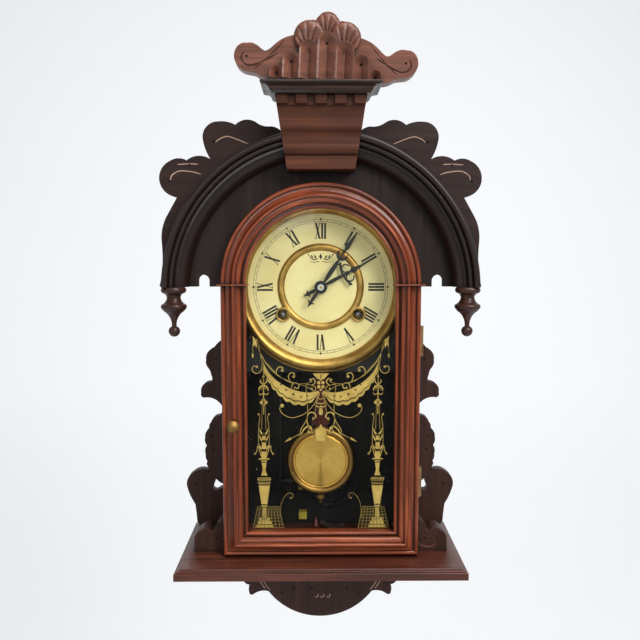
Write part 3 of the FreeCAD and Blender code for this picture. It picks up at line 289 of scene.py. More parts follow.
# a spun disc: fine rings, a painted reflection pattern (dark wedge low down, darker top, bright sides) and a
# darker flange
def spunBrass(name, bright, dull, rim):
    f = Finish(name)
    place = f.place()
    parts = f.node("ShaderNodeSeparateXYZ")
    f.link(place, parts.inputs[0])
    p = bobLook
    middle = highCorner("pendulum_bob").z - p["radius"]
    dx = parts.outputs[0]
    dz = f.math("SUBTRACT", parts.outputs[2], middle)
    radius = f.distance(dx, dz)
    fromFoot = f.math("ABSOLUTE", f.math("ARCTAN2", dx, f.math("MULTIPLY", dz, -1.0)))
    sweep = f.math("DIVIDE", fromFoot, math.pi)
    clouds = f.noise(place, p["tarnishScale"], 5.0, 0.6)
    body = f.mix(f.ramp(clouds, (0.4, black), (0.7, white)), bright, dull)
    # painted reflection: brightness set by angle round the disc, darkest in a wedge at the foot, as brushed
    # brass reflects
    shade = f.ramp(sweep, (0.0, (0.5, 0.46, 0.4, 1.0)), (p["wedge"], (0.86, 0.84, 0.8, 1.0)), (0.3, white),
                   (0.72, white), (1.0, (0.76, 0.74, 0.7, 1.0)))
    body = f.mix(1.0, body, shade, "MULTIPLY")
    outer = f.ramp(f.math("DIVIDE", radius, p["radius"]), (p["disc"] / p["radius"], black),
                   (p["rim"] / p["radius"], white))
    body = f.mix(outer, body, rim)
    f.baseColour(body)
    rings = f.rings(radius, p["ringScale"], 3.0, 0.7)
    f.set(Metallic=1.0)
    f.roughness(clouds, 0.3, 0.42)
    f.bump(rings, 0.5, 0.0002, f.rounded(0.0004))
    return f.material


def metal(name, colour, rough, metallic=1.0, specks=0.15):
    f = Finish(name)
    clouds = f.noise(f.place(), 220.0, 5.0)
    darker = tuple(c * (1 - specks * 2) for c in colour[:3]) + (1.0,)
    f.baseColour(f.mix(clouds, colour, darker))
    f.roughness(clouds, rough - 0.05, rough + 0.1)
    f.set(Metallic=metallic)
    f.bump(clouds, 0.1, 0.0001, f.rounded(0.0003))
    return f.material


# paint or print with soft blotches and a fine bite
def flatPaint(name, colour, shade, rough, scale=40.0, specks=0.0, coat=0.0):
    f = Finish(name)
    place = f.place()
    clouds = f.noise(place, scale, 5.0, 0.6)
    body = f.mix(f.ramp(clouds, (0.35, black), (0.7, white)), colour, shade)
    fine = f.noise(place, 1400.0, 2.0)
    if specks:
        body = f.mix(f.ramp(fine, (0.24, grey(specks)), (0.34, black)), body, shade)
    f.baseColour(body)
    f.set(Roughness=rough, Coat_Weight=coat, Coat_Roughness=0.25)
    f.bump(fine, 0.08, 0.00006, f.rounded(0.0003))
    return f.material


glassLook = {"tint": paint(252, 254, 252), "dust": paint(220, 220, 214), "speck": 0.4, "mirror": 0.12}


# clear pane: mostly see-through, a little mirror by angle, a trace of dust
def paneGlass(name):
    f = Finish(name)
    clear = f.node("ShaderNodeBsdfTransparent")
    clear.inputs["Color"].default_value = glassLook["tint"]
    mirror = f.node("ShaderNodeBsdfGlossy")
    mirror.inputs["Roughness"].default_value = 0.02
    angle = f.node("ShaderNodeFresnel")
    angle.inputs["IOR"].default_value = 1.5
    both = f.node("ShaderNodeMixShader")
    f.link(f.math("MULTIPLY", angle.outputs[0], glassLook["mirror"]), both.inputs[0])
    f.link(clear.outputs[0], both.inputs[1])
    f.link(mirror.outputs[0], both.inputs[2])
    dust = f.node("ShaderNodeBsdfDiffuse")
    dust.inputs["Color"].default_value = glassLook["dust"]
    grains = f.noise(f.place(), 520.0, 1.0, 0.4)
    amount = f.ramp(grains, (0.76, black), (0.82, grey(glassLook["speck"])))
    dusty = f.node("ShaderNodeMixShader")
    f.link(amount, dusty.inputs[0])
    f.link(both.outputs[0], dusty.inputs[1])
    f.link(dust.outputs[0], dusty.inputs[2])
    f.link(dusty.outputs[0], f.output.inputs[0])
    return f.material


archCentre = lowCorner("hood_panel").z
doorArchCentre = lowCorner("door_arch").z
mahogany = (paint(70, 26, 12), paint(124, 56, 28), paint(170, 88, 50))  # dark, middle and light streaks
# the bottom rail's mahogany is a lighter copy, painted lighter because the rail faces up into the light
railMahoganyLit = (paint(82, 34, 17), paint(140, 67, 37), paint(186, 100, 60))
umber = (paint(23, 13, 10), paint(31, 19, 15), paint(41, 26, 20))
# door settings: painted shade in the grooves, and an edge tint that is partly wear, partly painted highlight
doorPolishAndShading = {"rough": 0.34, "coat": 0.35, "grooveShade": 0.12, "wearAndHighlight": 1.0, "wearHighlightTint": paint(224, 136, 92)}
finishes = {
    "doorUp": wood("mahoganyUpright", *mahogany, "up", **doorPolishAndShading),
    "doorAcross": wood("mahoganyAcrossLit", *railMahoganyLit, "across", **doorPolishAndShading),
    "doorArch": wood("mahoganyArch", *mahogany, "arc", doorArchCentre, **doorPolishAndShading),
    "shelf": wood("shelfBoard", paint(54, 25, 17), paint(78, 39, 27), paint(102, 56, 40), "across",
                  rough=0.34, coat=0.4, wearAndHighlight=0.6, wearHighlightTint=paint(170, 104, 80)),
    "hood": wood("umberPanel", *umber, "up", rough=0.62, coat=0.0, wearAndHighlight=0.3),
    "hoodArch": wood("umberArch", *umber, "arc", archCentre,
                     rough=0.42, coat=0.16, grooveShade=0.25, wearAndHighlight=0.5, wearHighlightTint=paint(96, 66, 54)),
    "ears": wood("umberEars", paint(30, 17, 14), paint(39, 22, 18), paint(50, 29, 23), "across",
                 rough=0.62, coat=0.0, wearAndHighlight=0.4),
    "ornament": wood("umberOrnament", paint(42, 23, 18), paint(56, 32, 25), paint(72, 43, 34), "up",
                     rough=0.5, coat=0.06, wearAndHighlight=0.4),
    "finial": wood("turnedFinial", paint(38, 18, 13), paint(56, 29, 21), paint(76, 43, 32), "up",
                   rough=0.38, coat=0.18, wearAndHighlight=0.5),
    "keystone": wood("keystoneWood", paint(56, 26, 13), paint(72, 35, 18), paint(90, 47, 25), "across",
                     rough=0.6, coat=0.0, grooveShade=0.25, wearAndHighlight=0.4),
    "cap": wood("capWood", paint(30, 17, 12), paint(50, 30, 21), paint(86, 52, 36), "across",
                rough=0.4, coat=0.2, wearAndHighlight=0.7, wearHighlightTint=paint(130, 84, 60)),
    "crest": wood("crestWood", paint(80, 46, 34), paint(106, 63, 48), paint(128, 80, 61), "across",
                  rough=0.42, coat=0.2, wearAndHighlight=0.7, wearHighlightTint=paint(186, 118, 80)),
    # light groove colour for cut lines: painted highlight of the grooves' lit lower sides
    "carved": wood("grooveHighlight", paint(150, 122, 106), paint(178, 150, 134), paint(200, 176, 160),
                   "across", rough=0.6, coat=0.0, grooveShade=0.9, wearAndHighlight=0.0),
    # inside of the case: near-black
    "inside": wood("darkInsideBoard", paint(16, 13, 12), paint(27, 22, 21), paint(38, 31, 29), "up",
                   rough=0.55, coat=0.05, wearAndHighlight=0.1),
    "caseWood": wood("caseWood", paint(34, 19, 15), paint(60, 32, 25), paint(90, 51, 39), "up",
                     rough=0.4, coat=0.2, wearAndHighlight=0.3),
    "rod": wood("rodWood", paint(44, 18, 14), paint(74, 34, 26), paint(100, 52, 40), "up",
                rough=0.3, coat=0.4, wearAndHighlight=0.2),
    # mid-tone colour for scored lines: painted shade and painted highlight of the grooves blended into one
    # tone
    "scored": wood("scoredGrooveShading", paint(60, 34, 25), paint(82, 48, 36), paint(140, 96, 76), "across",
                   rough=0.6, coat=0.0, grooveShade=0.6, wearAndHighlight=0.0),
    # near-black colour inside the drilled eyes: painted shade in the holes
    "pitShade": flatPaint("pitShade", paint(30, 17, 13), paint(40, 24, 18), 0.8),
    "blackBoard": flatPaint("blackBoard", paint(16, 14, 13), paint(22, 20, 18), 0.7),
    "dial": flatPaint("dialEnamel", paint(232, 216, 158), paint(216, 194, 128), 0.45, 18.0, 0.25, 0.1),
    "ink": flatPaint("dialInk", paint(24, 22, 22), paint(44, 40, 38), 0.5, 300.0),
    "hands": metal("handBlack", paint(26, 25, 26), 0.45, 0.2),
    "gold": flatPaint("goldPrint", paint(196, 164, 86), paint(160, 128, 58), 0.4, 90.0, 0.5),
    "goldShade": flatPaint("printShade", paint(40, 30, 22), paint(58, 42, 26), 0.6, 90.0),
    "bezel": brass("bezelBrass", paint(190, 152, 84), paint(146, 110, 58), 0.46,
                   (dialMiddle.x, dialMiddle.z)),
    "bob": spunBrass("bobBrass", paint(246, 200, 106), paint(218, 170, 84), paint(142, 108, 58)),
    "brass": brass("knobBrass", paint(160, 126, 70), paint(100, 76, 42), 0.56),
    "oldBrass": brass("hingeBrass", paint(176, 140, 92), paint(116, 84, 50), 0.42),
    "trainBrass": brass("trainBrass", paint(206, 172, 96), paint(170, 134, 66), 0.34),
    "silver": metal("nutSteel", paint(222, 220, 218), 0.3),
    "steel": metal("trainSteel", paint(150, 150, 152), 0.34),
    "darkSteel": metal("hammerSteel", paint(44, 42, 42), 0.5, 0.6),
    "post": flatPaint("brassPost", paint(214, 190, 74), paint(184, 154, 60), 0.35, 80.0),
    "blued": metal("bluedSteel", paint(46, 52, 70), 0.3),
    "red": flatPaint("redCone", paint(112, 24, 20), paint(80, 16, 14), 0.4, 120.0, 0.0, 0.3),
    "glass": paneGlass("doorPane"),
}
print("finishes made:", len(finishes))

nodeFinishes = {
    "doorUp": ["door_stiles", "glass_bead"], "doorAcross": ["door_bottom_rail"], "doorArch": ["door_arch"],
    "shelf": ["base_shelf"], "hood": ["hood_panel"], "hoodArch": ["hood_moulding"], "ears": ["hood_ears"],
    "ornament": ["side_ornaments", "scroll_brackets", "bottom_apron"], "finial": ["drop_finials"],
    "keystone": ["keystone"], "cap": ["keystone_cap"], "crest": ["crest_board"], "inside": ["back_board"],
    "caseWood": ["case_sides", "case_top", "movement_seat"], "rod": ["pendulum_rod"],
    "blackBoard": ["dial_board"], "dial": ["dial_plate"], "hands": ["hour_hand", "minute_hand"],
    "bezel": ["dial_bezel", "dial_inner_ring"], "bob": ["pendulum_bob"],
    "brass": ["rating_nut", "door_knob", "pendulum_leader"],
    "oldBrass": ["hinge_case_leaves", "hinge_door_leaves", "hanger_plate"],
    "trainBrass": ["movement_plate_back", "movement_plate_front", "movement_pillars", "going_great_wheel",
                   "strike_great_wheel", "going_second_wheel", "center_wheel", "third_wheel",
                   "escape_wheel", "minute_wheel", "hour_wheel", "strike_second_wheel", "strike_fly"],
    "silver": ["hand_nut", "winding_key"],
    "darkSteel": ["hammer"], "post": ["gong_post"],
    "steel": ["wood_screws", "suspension_spring", "anchor", "going_winding_arbor", "strike_winding_arbor"],
    "blued": ["gong_coil", "mainsprings"], "red": ["beat_pointer"], "glass": ["door_glass"],
}
for finishName, members in nodeFinishes.items():
    for member in members:
        slots = nodes[member].data.materials
        slots.clear()
        slots.append(finishes[finishName])
print("nodes finished:", sum(len(members) for members in nodeFinishes.values()))


def placed(name, data):
    made = bpy.data.objects.new(name, data)
    bpy.context.scene.collection.objects.link(made)
    return made


def meshFrom(name, verts, faces, finish, weld=True):
    mesh = bpy.data.meshes.new(name)
    mesh.from_pydata([tuple(v) for v in verts], [], faces)
    work = bmesh.new()
    work.from_mesh(mesh)
    if weld:
        bmesh.ops.remove_doubles(work, verts=work.verts, dist=1e-6)
    bmesh.ops.recalc_face_normals(work, faces=work.faces)
    work.to_mesh(mesh)
    work.free()
    mesh.materials.append(finishes[finish])
    return mesh


def addPiece(name, verts, faces, finish, body, smooth=False, stands=()):
    mesh = meshFrom(name, verts, faces, finish)
    mesh.polygons.foreach_set("use_smooth", [smooth] * len(mesh.polygons))
    piece = placed(name, mesh)
    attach(piece, body)
    if stands:
        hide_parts(*stands)
    return piece


# closed thin plates from outlines in x and z
def plates(outlines, front, thick):
    verts, faces = [], []
    for outline in outlines:
        start, count = len(verts), len(outline)
        verts += [spot(x, y, z) for y in (front, front + thick) for x, z in outline]
        faces.append(list(range(start, start + count)))
        faces.append(list(range(start + 2 * count - 1, start + count - 1, -1)))
        for k in range(count):
            nextOne = (k + 1) % count
            faces.append([start + k, start + nextOne, start + count + nextOne, start + count + k])
    return verts, faces


# a smooth line through given points
def flow(points, steps=7):
    if len(points) < 3:
        return list(points)
    path = []
    ends = [points[0]] + list(points) + [points[-1]]
    for k in range(len(points) - 1):
        a, b, c, d = (Vector(p) for p in ends[k:k + 4])
        for s in range(steps):
            t = s / steps
            path.append(tuple(0.5 * (2 * b + (c - a) * t + (2 * a - 5 * b + 4 * c - d) * t * t
                                     + (3 * b - a - 3 * c + d) * t ** 3)))
    return path + [tuple(points[-1])]


# each point of a path, with the way the path runs there
def headings(path):
    for k, (x, z) in enumerate(path):
        before, after = path[max(k - 1, 0)], path[min(k + 1, len(path) - 1)]
        yield k / (len(path) - 1), x, z, (Vector(after) - Vector(before)).normalized()


# the outline of a line whose width changes evenly through the given widths
def ribbon(points, widths, steps=7):
    left, right = [], []
    for share, x, z, along in headings(flow(points, steps)):
        t = share * (len(widths) - 1)
        low = min(int(t), len(widths) - 2) if len(widths) > 1 else 0
        width = widths[low] + (widths[min(low + 1, len(widths) - 1)] - widths[low]) * (t - low)
        left.append((x - along.y * width / 2, z + along.x * width / 2))
        right.append((x + along.y * width / 2, z - along.x * width / 2))
    return left + right[::-1]


def disc(x, z, radius, count=14, squash=1.0):
    return [(x + radius * math.cos(2 * math.pi * k / count),
             z + radius * squash * math.sin(2 * math.pi * k / count)) for k in range(count)]


# a ring as quads about the dial centre
def hoop(radius, width, count=120):
    inner, outer = (disc(0, 0, radius + side * width / 2, count) for side in (-1, 1))
    return [[inner[k - 1], outer[k - 1], outer[k], inner[k]] for k in range(count)]


# a pointed leaf from its foot
def leaf(x, z, length, width, angle):
    half = [(0, 0), (0.25, 0.4), (0.55, 0.5), (0.8, 0.28), (1, 0)]
    outline = [(a * length, b * width) for a, b in half]
    outline += [(a, -b) for a, b in outline[-2:0:-1]]
    c, s = math.cos(math.radians(angle)), math.sin(math.radians(angle))
    return [(x + a * c - b * s, z + a * s + b * c) for a, b in outline]


def mirror(outlines):
    return [[(-x, z) for x, z in outline][::-1] for outline in outlines]


# outlines turned clockwise about the dial centre
def turned(outlines, degrees):
    c, s = math.cos(math.radians(degrees)), math.sin(math.radians(degrees))
    return [[(x * c + z * s, -x * s + z * c) for x, z in outline] for outline in outlines]


dialPrint = {"numeralFoot": 49.7, "numeralTop": 66.0, "thick": 2.1, "thin": 0.72, "serif": 0.55,
             "trackInner": 67.3, "trackOuter": 69.7, "trackLine": 0.34, "tickLine": 0.34, "square": 1.9,
             "lift": 0.06, "film": 0.05}
# bars run from a foot x to a top x; serifs have an x, a width and an end
letterShapes = {
    "I": {"width": 3.05, "bars": [(0, 0, "thick")], "serifs": [(0, 2.684, "foot"), (0, 2.684, "top")]},
    "V": {"width": 6.4, "bars": [(0.2, -1.9, "thick"), (0.2, 2.2, "thin")],
          "serifs": [(-1.9, 2.8, "top"), (2.1, 2.0, "top")]},
    "X": {"width": 6.2, "bars": [(1.9, -1.9, "thick"), (-2.1, 2.1, "thin")],
          "serifs": [(1.9, 2.4, "foot"), (-2.1, 2.4, "foot"), (-1.9, 2.4, "top"), (2.1, 2.4, "top")]},
}


def stroke(bottomX, topX, bottom, top, width):
    half = width / 2
    return [(bottomX - half, bottom), (bottomX + half, bottom), (topX + half, top), (topX - half, top)]


# one Roman numeral, middle at x = 0, foot towards the dial centre
def numeralStrokes(text):
    p = dialPrint
    foot, top = p["numeralFoot"], p["numeralTop"]
    serifFoot = {"foot": foot, "top": top - p["serif"]}
    strokes = []
    x = -sum(letterShapes[letter]["width"] for letter in text) / 2
    for letter in text:
        shape = letterShapes[letter]
        middle = x + shape["width"] / 2
        for low, high, weight in shape["bars"]:
            strokes.append(stroke(middle + low, middle + high, foot, top, p[weight]))
        for at, width, end in shape["serifs"]:
            z = serifFoot[end]
            strokes.append(stroke(middle + at, middle + at, z, z + p["serif"], width))
        x += shape["width"]
    return strokes


def makeDialPrint():
    p = dialPrint
    inner, outer, half = p["trackInner"], p["trackOuter"], p["square"] / 2
    outlines = hoop(inner, p["trackLine"]) + hoop(outer, p["trackLine"])
    for hour, text in enumerate("XII I II III IIII V VI VII VIII IX X XI".split()):
        outlines += turned(numeralStrokes(text), hour * 30)
        outlines += turned([stroke(0, 0, outer - half, outer + half, p["square"])], hour * 30)
    for minute in range(60):
        outlines += turned([stroke(0, 0, inner, outer, p["tickLine"])], minute * 6)
    verts, faces = plates(outlines, dialFront - p["lift"], p["film"])
    addPiece("dialNumerals", verts, faces, "ink", "case")


# a lozenge between two sprays, with a fine line below
def makeFlourish():
    middle = [[(0, 34.6), (1.7, 31.4), (0, 28.2), (-1.7, 31.4)]]
    spray = [ribbon([(2.6, 29.4), (6.0, 28.4), (9.6, 29.6), (12.4, 32.8)], [0.5, 1.2, 0.9, 0.3]),
             leaf(4.4, 29.2, 4.6, 1.9, 58), leaf(8.2, 29.6, 4.2, 1.7, 66), disc(12.6, 33.4, 0.8, 12),
             ribbon([(1.6, 26.4), (7.0, 25.6), (11.0, 26.6)], [0.8, 0.7, 0.2])]
    verts, faces = plates(middle + spray + mirror(spray), dialFront - dialPrint["lift"], dialPrint["film"])
    addPiece("dialFlourish", verts, faces, "ink", "case")


makeDialPrint()
makeFlourish()
print("dial printed")


glassPrint = {"lift": 0.1, "shadeLift": 0.05, "film": 0.04}  # behind the pane
lampPost = {"x": 58.7, "line": 0.4}
floorGrid = {"top": -228.0, "bottom": -250.4, "topEnds": (43.4, 65.8), "bottomEnds": (39.0, 70.6),
             "columns": 8, "rows": 7, "crowding": 1.1}


# a line that ends in a round drop
def blob(points, width, tip):
    return [ribbon(points, [width * 0.7, width, width]), disc(points[-1][0], points[-1][1], tip, 12)]


# one of the two column lamps, drawn about its own middle line
def makeLampPost():
    shapes = []

    def slab(half, top, bottom, lowerHalf=None):
        low = half if lowerHalf is None else lowerHalf
        shapes.append([(-low, bottom), (low, bottom), (half, top), (-half, top)])

    def pair(outline):
        shapes.extend([outline] + mirror([outline]))

    # spike and crown
    slab(lampPost["line"] / 2, -76.0, -98.0)
    shapes.append([(0, -88.6), (1.3, -90.8), (0, -93.2), (-1.3, -90.8)])
    slab(0.5, -93.2, -98.8)
    pair(ribbon([(0, -98.2), (2.2, -97.4), (3.1, -95.4), (2.5, -93.6)], [0.5, 1.1, 0.3]))
    slab(1.3, -98.4, -99.6)
    pair(ribbon([(0, -100.0), (2.8, -101.0), (4.6, -103.6), (4.5, -105.8)], [1.4, 1.5, 0.5]))
    pair(ribbon([(0, -102.0), (1.8, -102.6), (2.4, -104.6)], [0.5, 0.6, 0.3]))
    pair(ribbon([(0, -107.6), (2.6, -109.4), (4.4, -108.8), (4.9, -107.2)], [0.8, 0.8, 0.3]))
    # rosette and lyre
    slab(0.4, -100.0, -130.0)
    for x, z in ((2.3, 0), (0, 2.3), (-2.3, 0), (0, -2.3)):
        shapes.append(disc(x, -117.6 + z, 1.75, 12))
    pair(disc(5.3, -130.0, 1.0, 10))
    pair(ribbon([(5.3, -130.4), (3.9, -133.0), (4.9, -140.0), (5.4, -147.0), (5.6, -156.0), (5.0, -163.0)],
                [0.45, 0.5, 0.4]))
    pair(ribbon([(1.6, -121.5), (1.9, -133.0), (2.2, -146.0)], [0.25, 0.4]))
    for z, reach, lean in ((-152.0, 4.6, 6.6), (-159.0, 4.8, 6.8), (-168.6, 5.6, 7.4)):
        pair(ribbon([(0, z), (reach * 0.55, z + lean * 0.35), (reach, z + lean)], [2.4, 1.8, 0.9]))
        pair(disc(reach, z + lean, 0.8, 8))
    for part in blob([(2.6, -175.2), (5.2, -166.0), (6.4, -163.4), (7.4, -168.6), (9.2, -171.4)], 0.9, 1.1):
        pair(part)
    # stem and fringe
    slab(1.6, -150.0, -176.4, 3.0)
    slab(5.6, -176.4, -177.6)
    slab(3.0, -178.6, -180.0)
    slab(2.5, -181.0, -188.4, 1.5)
    slab(1.3, -188.4, -194.6, 3.3)
    slab(6.4, -196.6, -197.1)
    for k in range(7):
        shapes.append(disc(-6.3 + k * 2.1, -198.4, 0.85, 10))
    slab(6.4, -199.8, -200.3)
    for k in range(5):
        left = -6.2 + k * 2.48
        loop = [(left, -201.2), (left + 1.2, -203.8), (left + 2.4, -201.2)]
        shapes.append(ribbon(loop, [0.7, 0.9, 0.7], 4))
    # shaft and foot
    slab(5.9, -205.2, -226.4, 2.9)
    shapes.append(disc(0, -226.6, 2.9, 14, 0.6))
    slab(2.1, -229.0, -239.0)
    slab(5.4, -239.4, -243.2)
    slab(6.9, -243.6, -247.0, 7.6)
    slab(9.0, -247.5, -250.2, 9.3)
    return shapes


# tiled floor drawn in perspective round the foot of a lamp
def makeFloorGrid():
    p = floorGrid
    top, bottom = p["top"], p["bottom"]
    shapes = []

    def edgeAt(share, z):
        t = (top - z) / (top - bottom)
        left, right = (high + (low - high) * t for high, low in zip(p["topEnds"], p["bottomEnds"]))
        return left + (right - left) * share

    for k in range(p["columns"] + 1):
        share = k / p["columns"]
        shapes.append(ribbon([(edgeAt(share, top), top), (edgeAt(share, bottom), bottom)], [0.3, 0.42]))
    for k in range(p["rows"] + 1):
        z = top + (bottom - top) * (k / p["rows"]) ** p["crowding"]
        shapes.append(ribbon([(edgeAt(0, z), z), (edgeAt(1, z), z)], [0.34, 0.34]))
    return shapes


swagTop = [(60.0, -72.0), (54.4, -85.0), (43.0, -96.6), (29.0, -104.0), (14.2, -107.4), (0.6, -105.4)]
swagLow = [(60.0, -72.0), (56.6, -87.6), (49.6, -100.4), (41.6, -109.6), (33.6, -115.8), (24.4, -119.0),
           (15.6, -118.6), (7.4, -114.0), (0.6, -105.4)]
swagDots = [(50.6, -88.0, 0.6), (45.8, -93.8, 0.8), (40.8, -99.2, 0.9), (35.4, -104.6, 1.0),
            (28.2, -109.2, 1.3), (20.4, -111.8, 1.0), (13.4, -110.8, 0.9)]
swagShape = {"samples": 90, "scallops": 10, "body": 0.70, "gapEnd": 0.79, "bump": 2.0}


# points spaced evenly along a smooth line
def evenly(points, count):
    path = flow(points, 12)
    lengths = [0.0]
    for a, b in zip(path, path[1:]):
        lengths.append(lengths[-1] + math.dist(a, b))
    spaced, k = [], 0
    for n in range(count + 1):
        goal = lengths[-1] * n / count
        while k < len(path) - 2 and lengths[k + 1] < goal:
            k += 1
        t = (goal - lengths[k]) / max(lengths[k + 1] - lengths[k], 1e-9)
        spaced.append((path[k][0] + (path[k + 1][0] - path[k][0]) * t,
                       path[k][1] + (path[k + 1][1] - path[k][1]) * t))
    return spaced


# lace: a scalloped body, and a scalloped border below it
def swagOutlines():
    p = swagShape
    top, low = evenly(swagTop, p["samples"]), evenly(swagLow, p["samples"])
    edges = []
    for share, bump in ((p["body"], p["bump"] * 0.6), (p["gapEnd"], p["bump"] * 0.6), (1.0, p["bump"])):
        edge = []
        for n, (a, b) in enumerate(zip(top, low)):
            t = n / p["samples"]
            rise = bump * abs(math.sin(math.pi * p["scallops"] * t)) * min(1, 5 * t, 6 * (1 - t))
            away = Vector((b[0] - a[0], b[1] - a[1]))
            length = max(away.length, 1e-6)
            reach = share * length + rise
            edge.append((a[0] + away.x / length * reach, a[1] + away.y / length * reach))
        edges.append(edge)
    ends = slice(2, -2)
    return [top[ends] + edges[0][ends][::-1], edges[1][ends] + edges[2][ends][::-1]]


# right half of the scrollwork: middle lines with their widths
vineLines = [
    ([(65.5, -52.0), (62.6, -64.0), (56.4, -76.0), (46.0, -88.0), (35.0, -94.6), (24.0, -98.4),
      (16.4, -100.4), (9.4, -104.6)], [1.0, 0.8, 0.45, 0.4]),
    ([(54.0, -78.0), (42.6, -90.0), (30.6, -97.0), (17.0, -98.2), (8.6, -96.0)], [0.3, 0.4, 0.3]),
    ([(65.0, -54.0), (61.4, -68.0), (60.2, -80.0)], [1.6, 0.6, 0.4]),
    ([(69.2, -57.0), (69.4, -67.0)], [0.35, 0.35]),
    ([(15.4, -99.0), (14.6, -110.0), (13.6, -124.0), (15.0, -136.0), (20.6, -146.0), (21.2, -152.0)],
     [0.4, 0.5, 0.6, 0.9]),
    ([(20.4, -150.0), (27.0, -153.6), (33.6, -156.6)], [0.8, 0.5, 0.3]),
]
# the same for scrolls that end in a round drop: middle line, width, drop radius
vineDrops = [
    ([(60.6, -73.0), (60.2, -82.0), (63.4, -87.0), (68.0, -86.8), (70.2, -83.0), (68.4, -79.8),
      (65.4, -80.6)], 0.8, 1.3),
    ([(44.6, -90.0), (45.4, -84.6), (42.6, -80.8), (39.0, -81.6), (39.4, -84.4)], 0.9, 1.4),
    ([(31.6, -95.6), (33.2, -90.8), (30.8, -87.0), (27.0, -88.0), (27.8, -90.8)], 0.9, 1.4),
    ([(30.0, -102.6), (29.2, -99.0), (25.6, -97.4), (22.4, -99.8), (23.6, -103.0), (26.4, -102.4)],
     1.0, 1.1),
    ([(15.0, -98.6), (9.0, -99.6), (5.8, -96.4), (7.6, -92.8), (10.2, -94.2)], 0.9, 1.4),
    ([(12.0, -99.4), (6.4, -101.0), (5.4, -104.8), (8.4, -105.8), (9.4, -103.6)], 0.7, 1.2),
    ([(1.2, -107.0), (6.6, -119.0), (16.0, -129.0), (29.0, -133.6), (38.6, -130.0), (42.2, -124.0),
      (39.8, -121.0)], 0.6, 2.0),
    ([(8.0, -150.6), (12.6, -143.0), (14.4, -134.6), (11.6, -128.6), (6.8, -128.8), (5.0, -132.6),
      (7.6, -134.6)], 1.2, 1.3),
    ([(20.0, -151.0), (17.4, -145.8), (12.8, -142.6), (9.6, -145.0), (11.8, -148.2)], 1.6, 1.7),
    ([(42.6, -240.0), (41.4, -226.0), (38.6, -218.6), (33.4, -213.4), (29.4, -214.4), (29.4, -218.0),
      (31.4, -218.6)], 0.4, 0.8),
]
vineTips = [[(69.4, -48.6), (67.2, -51.4), (65.4, -54.2), (62.6, -59.4), (65.0, -58.2), (65.8, -61.8),
             (67.0, -57.8), (69.2, -60.4), (69.0, -55.0)], [(31.4, -154.0), (37.4, -159.2), (30.0, -156.4)]]


def makeVines():
    shapes = [ribbon(points, widths) for points, widths in vineLines] + vineTips
    for points, width, tip in vineDrops:
        shapes += blob(points, width, tip)
    return shapes + [leaf(69.4, -71.6, 5.4, 2.0, 90)]


# knot, bow and pendant on the print's middle line
def makeCentre():
    shapes = [disc(x, z, 1.7, 12) for z in (-97.2, -101.4) for x in (-2.1, 2.1)]
    shapes += [disc(0, -94.0, 1.2, 10), disc(0, -104.4, 1.2, 10)]
    shapes += [ribbon([(-4.4, -112.8), (0, -114.2), (4.4, -112.8)], [0.4, 0.8, 0.4]),
               ribbon([(-5.2, -117.0), (-2.4, -118.8), (2.4, -118.8), (5.2, -117.0)], [0.5, 0.9, 0.5]),
               ribbon([(-6.0, -120.6), (0, -123.0), (6.0, -120.6)], [0.5, 1.2, 0.5])]
    cord = ribbon([(1.0, -108.0), (4.0, -117.0), (6.0, -128.0)], [0.3, 0.5, 0.3])
    bow = [(8.2, -87.6), (6.6, -89.6), (3.6, -93.0), (0.4, -94.0), (0.4, -89.0)]
    drop = [(0.9, -121.0), (2.2, -128.6), (1.4, -130.6)]
    vase = [(0, -140.2), (1.8, -143.6), (5.2, -145.4), (5.8, -150.0), (4.4, -158.0)]
    return shapes + [cord] + mirror([cord]) + [half + [(-x, z) for x, z in half[::-1] if x]
                                               for half in (bow, drop, vase)]


def makeGlassPrint():
    p = glassPrint
    lamp = [[(x + lampPost["x"], z) for x, z in outline] for outline in makeLampPost()]
    half = lamp + makeFloorGrid() + swagOutlines() + makeVines()
    verts, faces = plates(half + mirror(half) + makeCentre(), glassBack + p["lift"], p["film"])
    addPiece("glassPrintGold", verts, faces, "gold", "door")
    dark = [disc(x, z, r, 10) for x, z, r in swagDots]
    x = lampPost["x"]
    for end in (-120.6, -114.6):  # the cross on the rosette
        dark.append(ribbon([(x - 3.0, -235.2 - end), (x + 3.0, end)], [0.5, 0.5]))
    for end in (-240.4, -242.6):  # the mark on the foot
        dark.append(ribbon([(x - 3.6, end), (x, -241.4), (x + 3.6, end)], [0.4]))
    verts, faces = plates(dark + mirror(dark), glassBack + p["shadeLift"], p["film"])
    addPiece("glassPrintShade", verts, faces, "goldShade", "door")


makeGlassPrint()
print("glass printed")


# a closed round bar along a line on a board's face
def tubeAlong(points, y, radius, sides=8):
    path = flow(points, 6)
    verts, faces = [], []
    for t, x, z, along in headings(path):
        size = radius * min(1.0, 0.45 + 4 * min(t, 1 - t))
        for s in range(sides):
            a = 2 * math.pi * s / sides
            verts.append(spot(x - along.y * size * math.cos(a), y + size * math.sin(a),
                              z + along.x * size * math.cos(a)))
    for k in range(len(path) - 1):
        for s in range(sides):
            t = (s + 1) % sides
            faces.append([k * sides + s, k * sides + t, (k + 1) * sides + t, (k + 1) * sides + s])
    faces.append(list(range(sides))[::-1])
    faces.append([(len(path) - 1) * sides + s for s in range(sides)])
    return verts, faces


# a small tapered hole, as a solid to cut with
def pitAt(x, z, y, radius, deep, count=14):
    verts = [spot(px, level, pz) for r, level in ((radius, y - 1.5), (radius * 0.5, y + deep))
             for px, pz in disc(x, z, r, count)]
    faces = [[k, (k + 1) % count, count + (k + 1) % count, count + k] for k in range(count)]
    return verts, faces + [list(range(count))[::-1], list(range(count, 2 * count))]


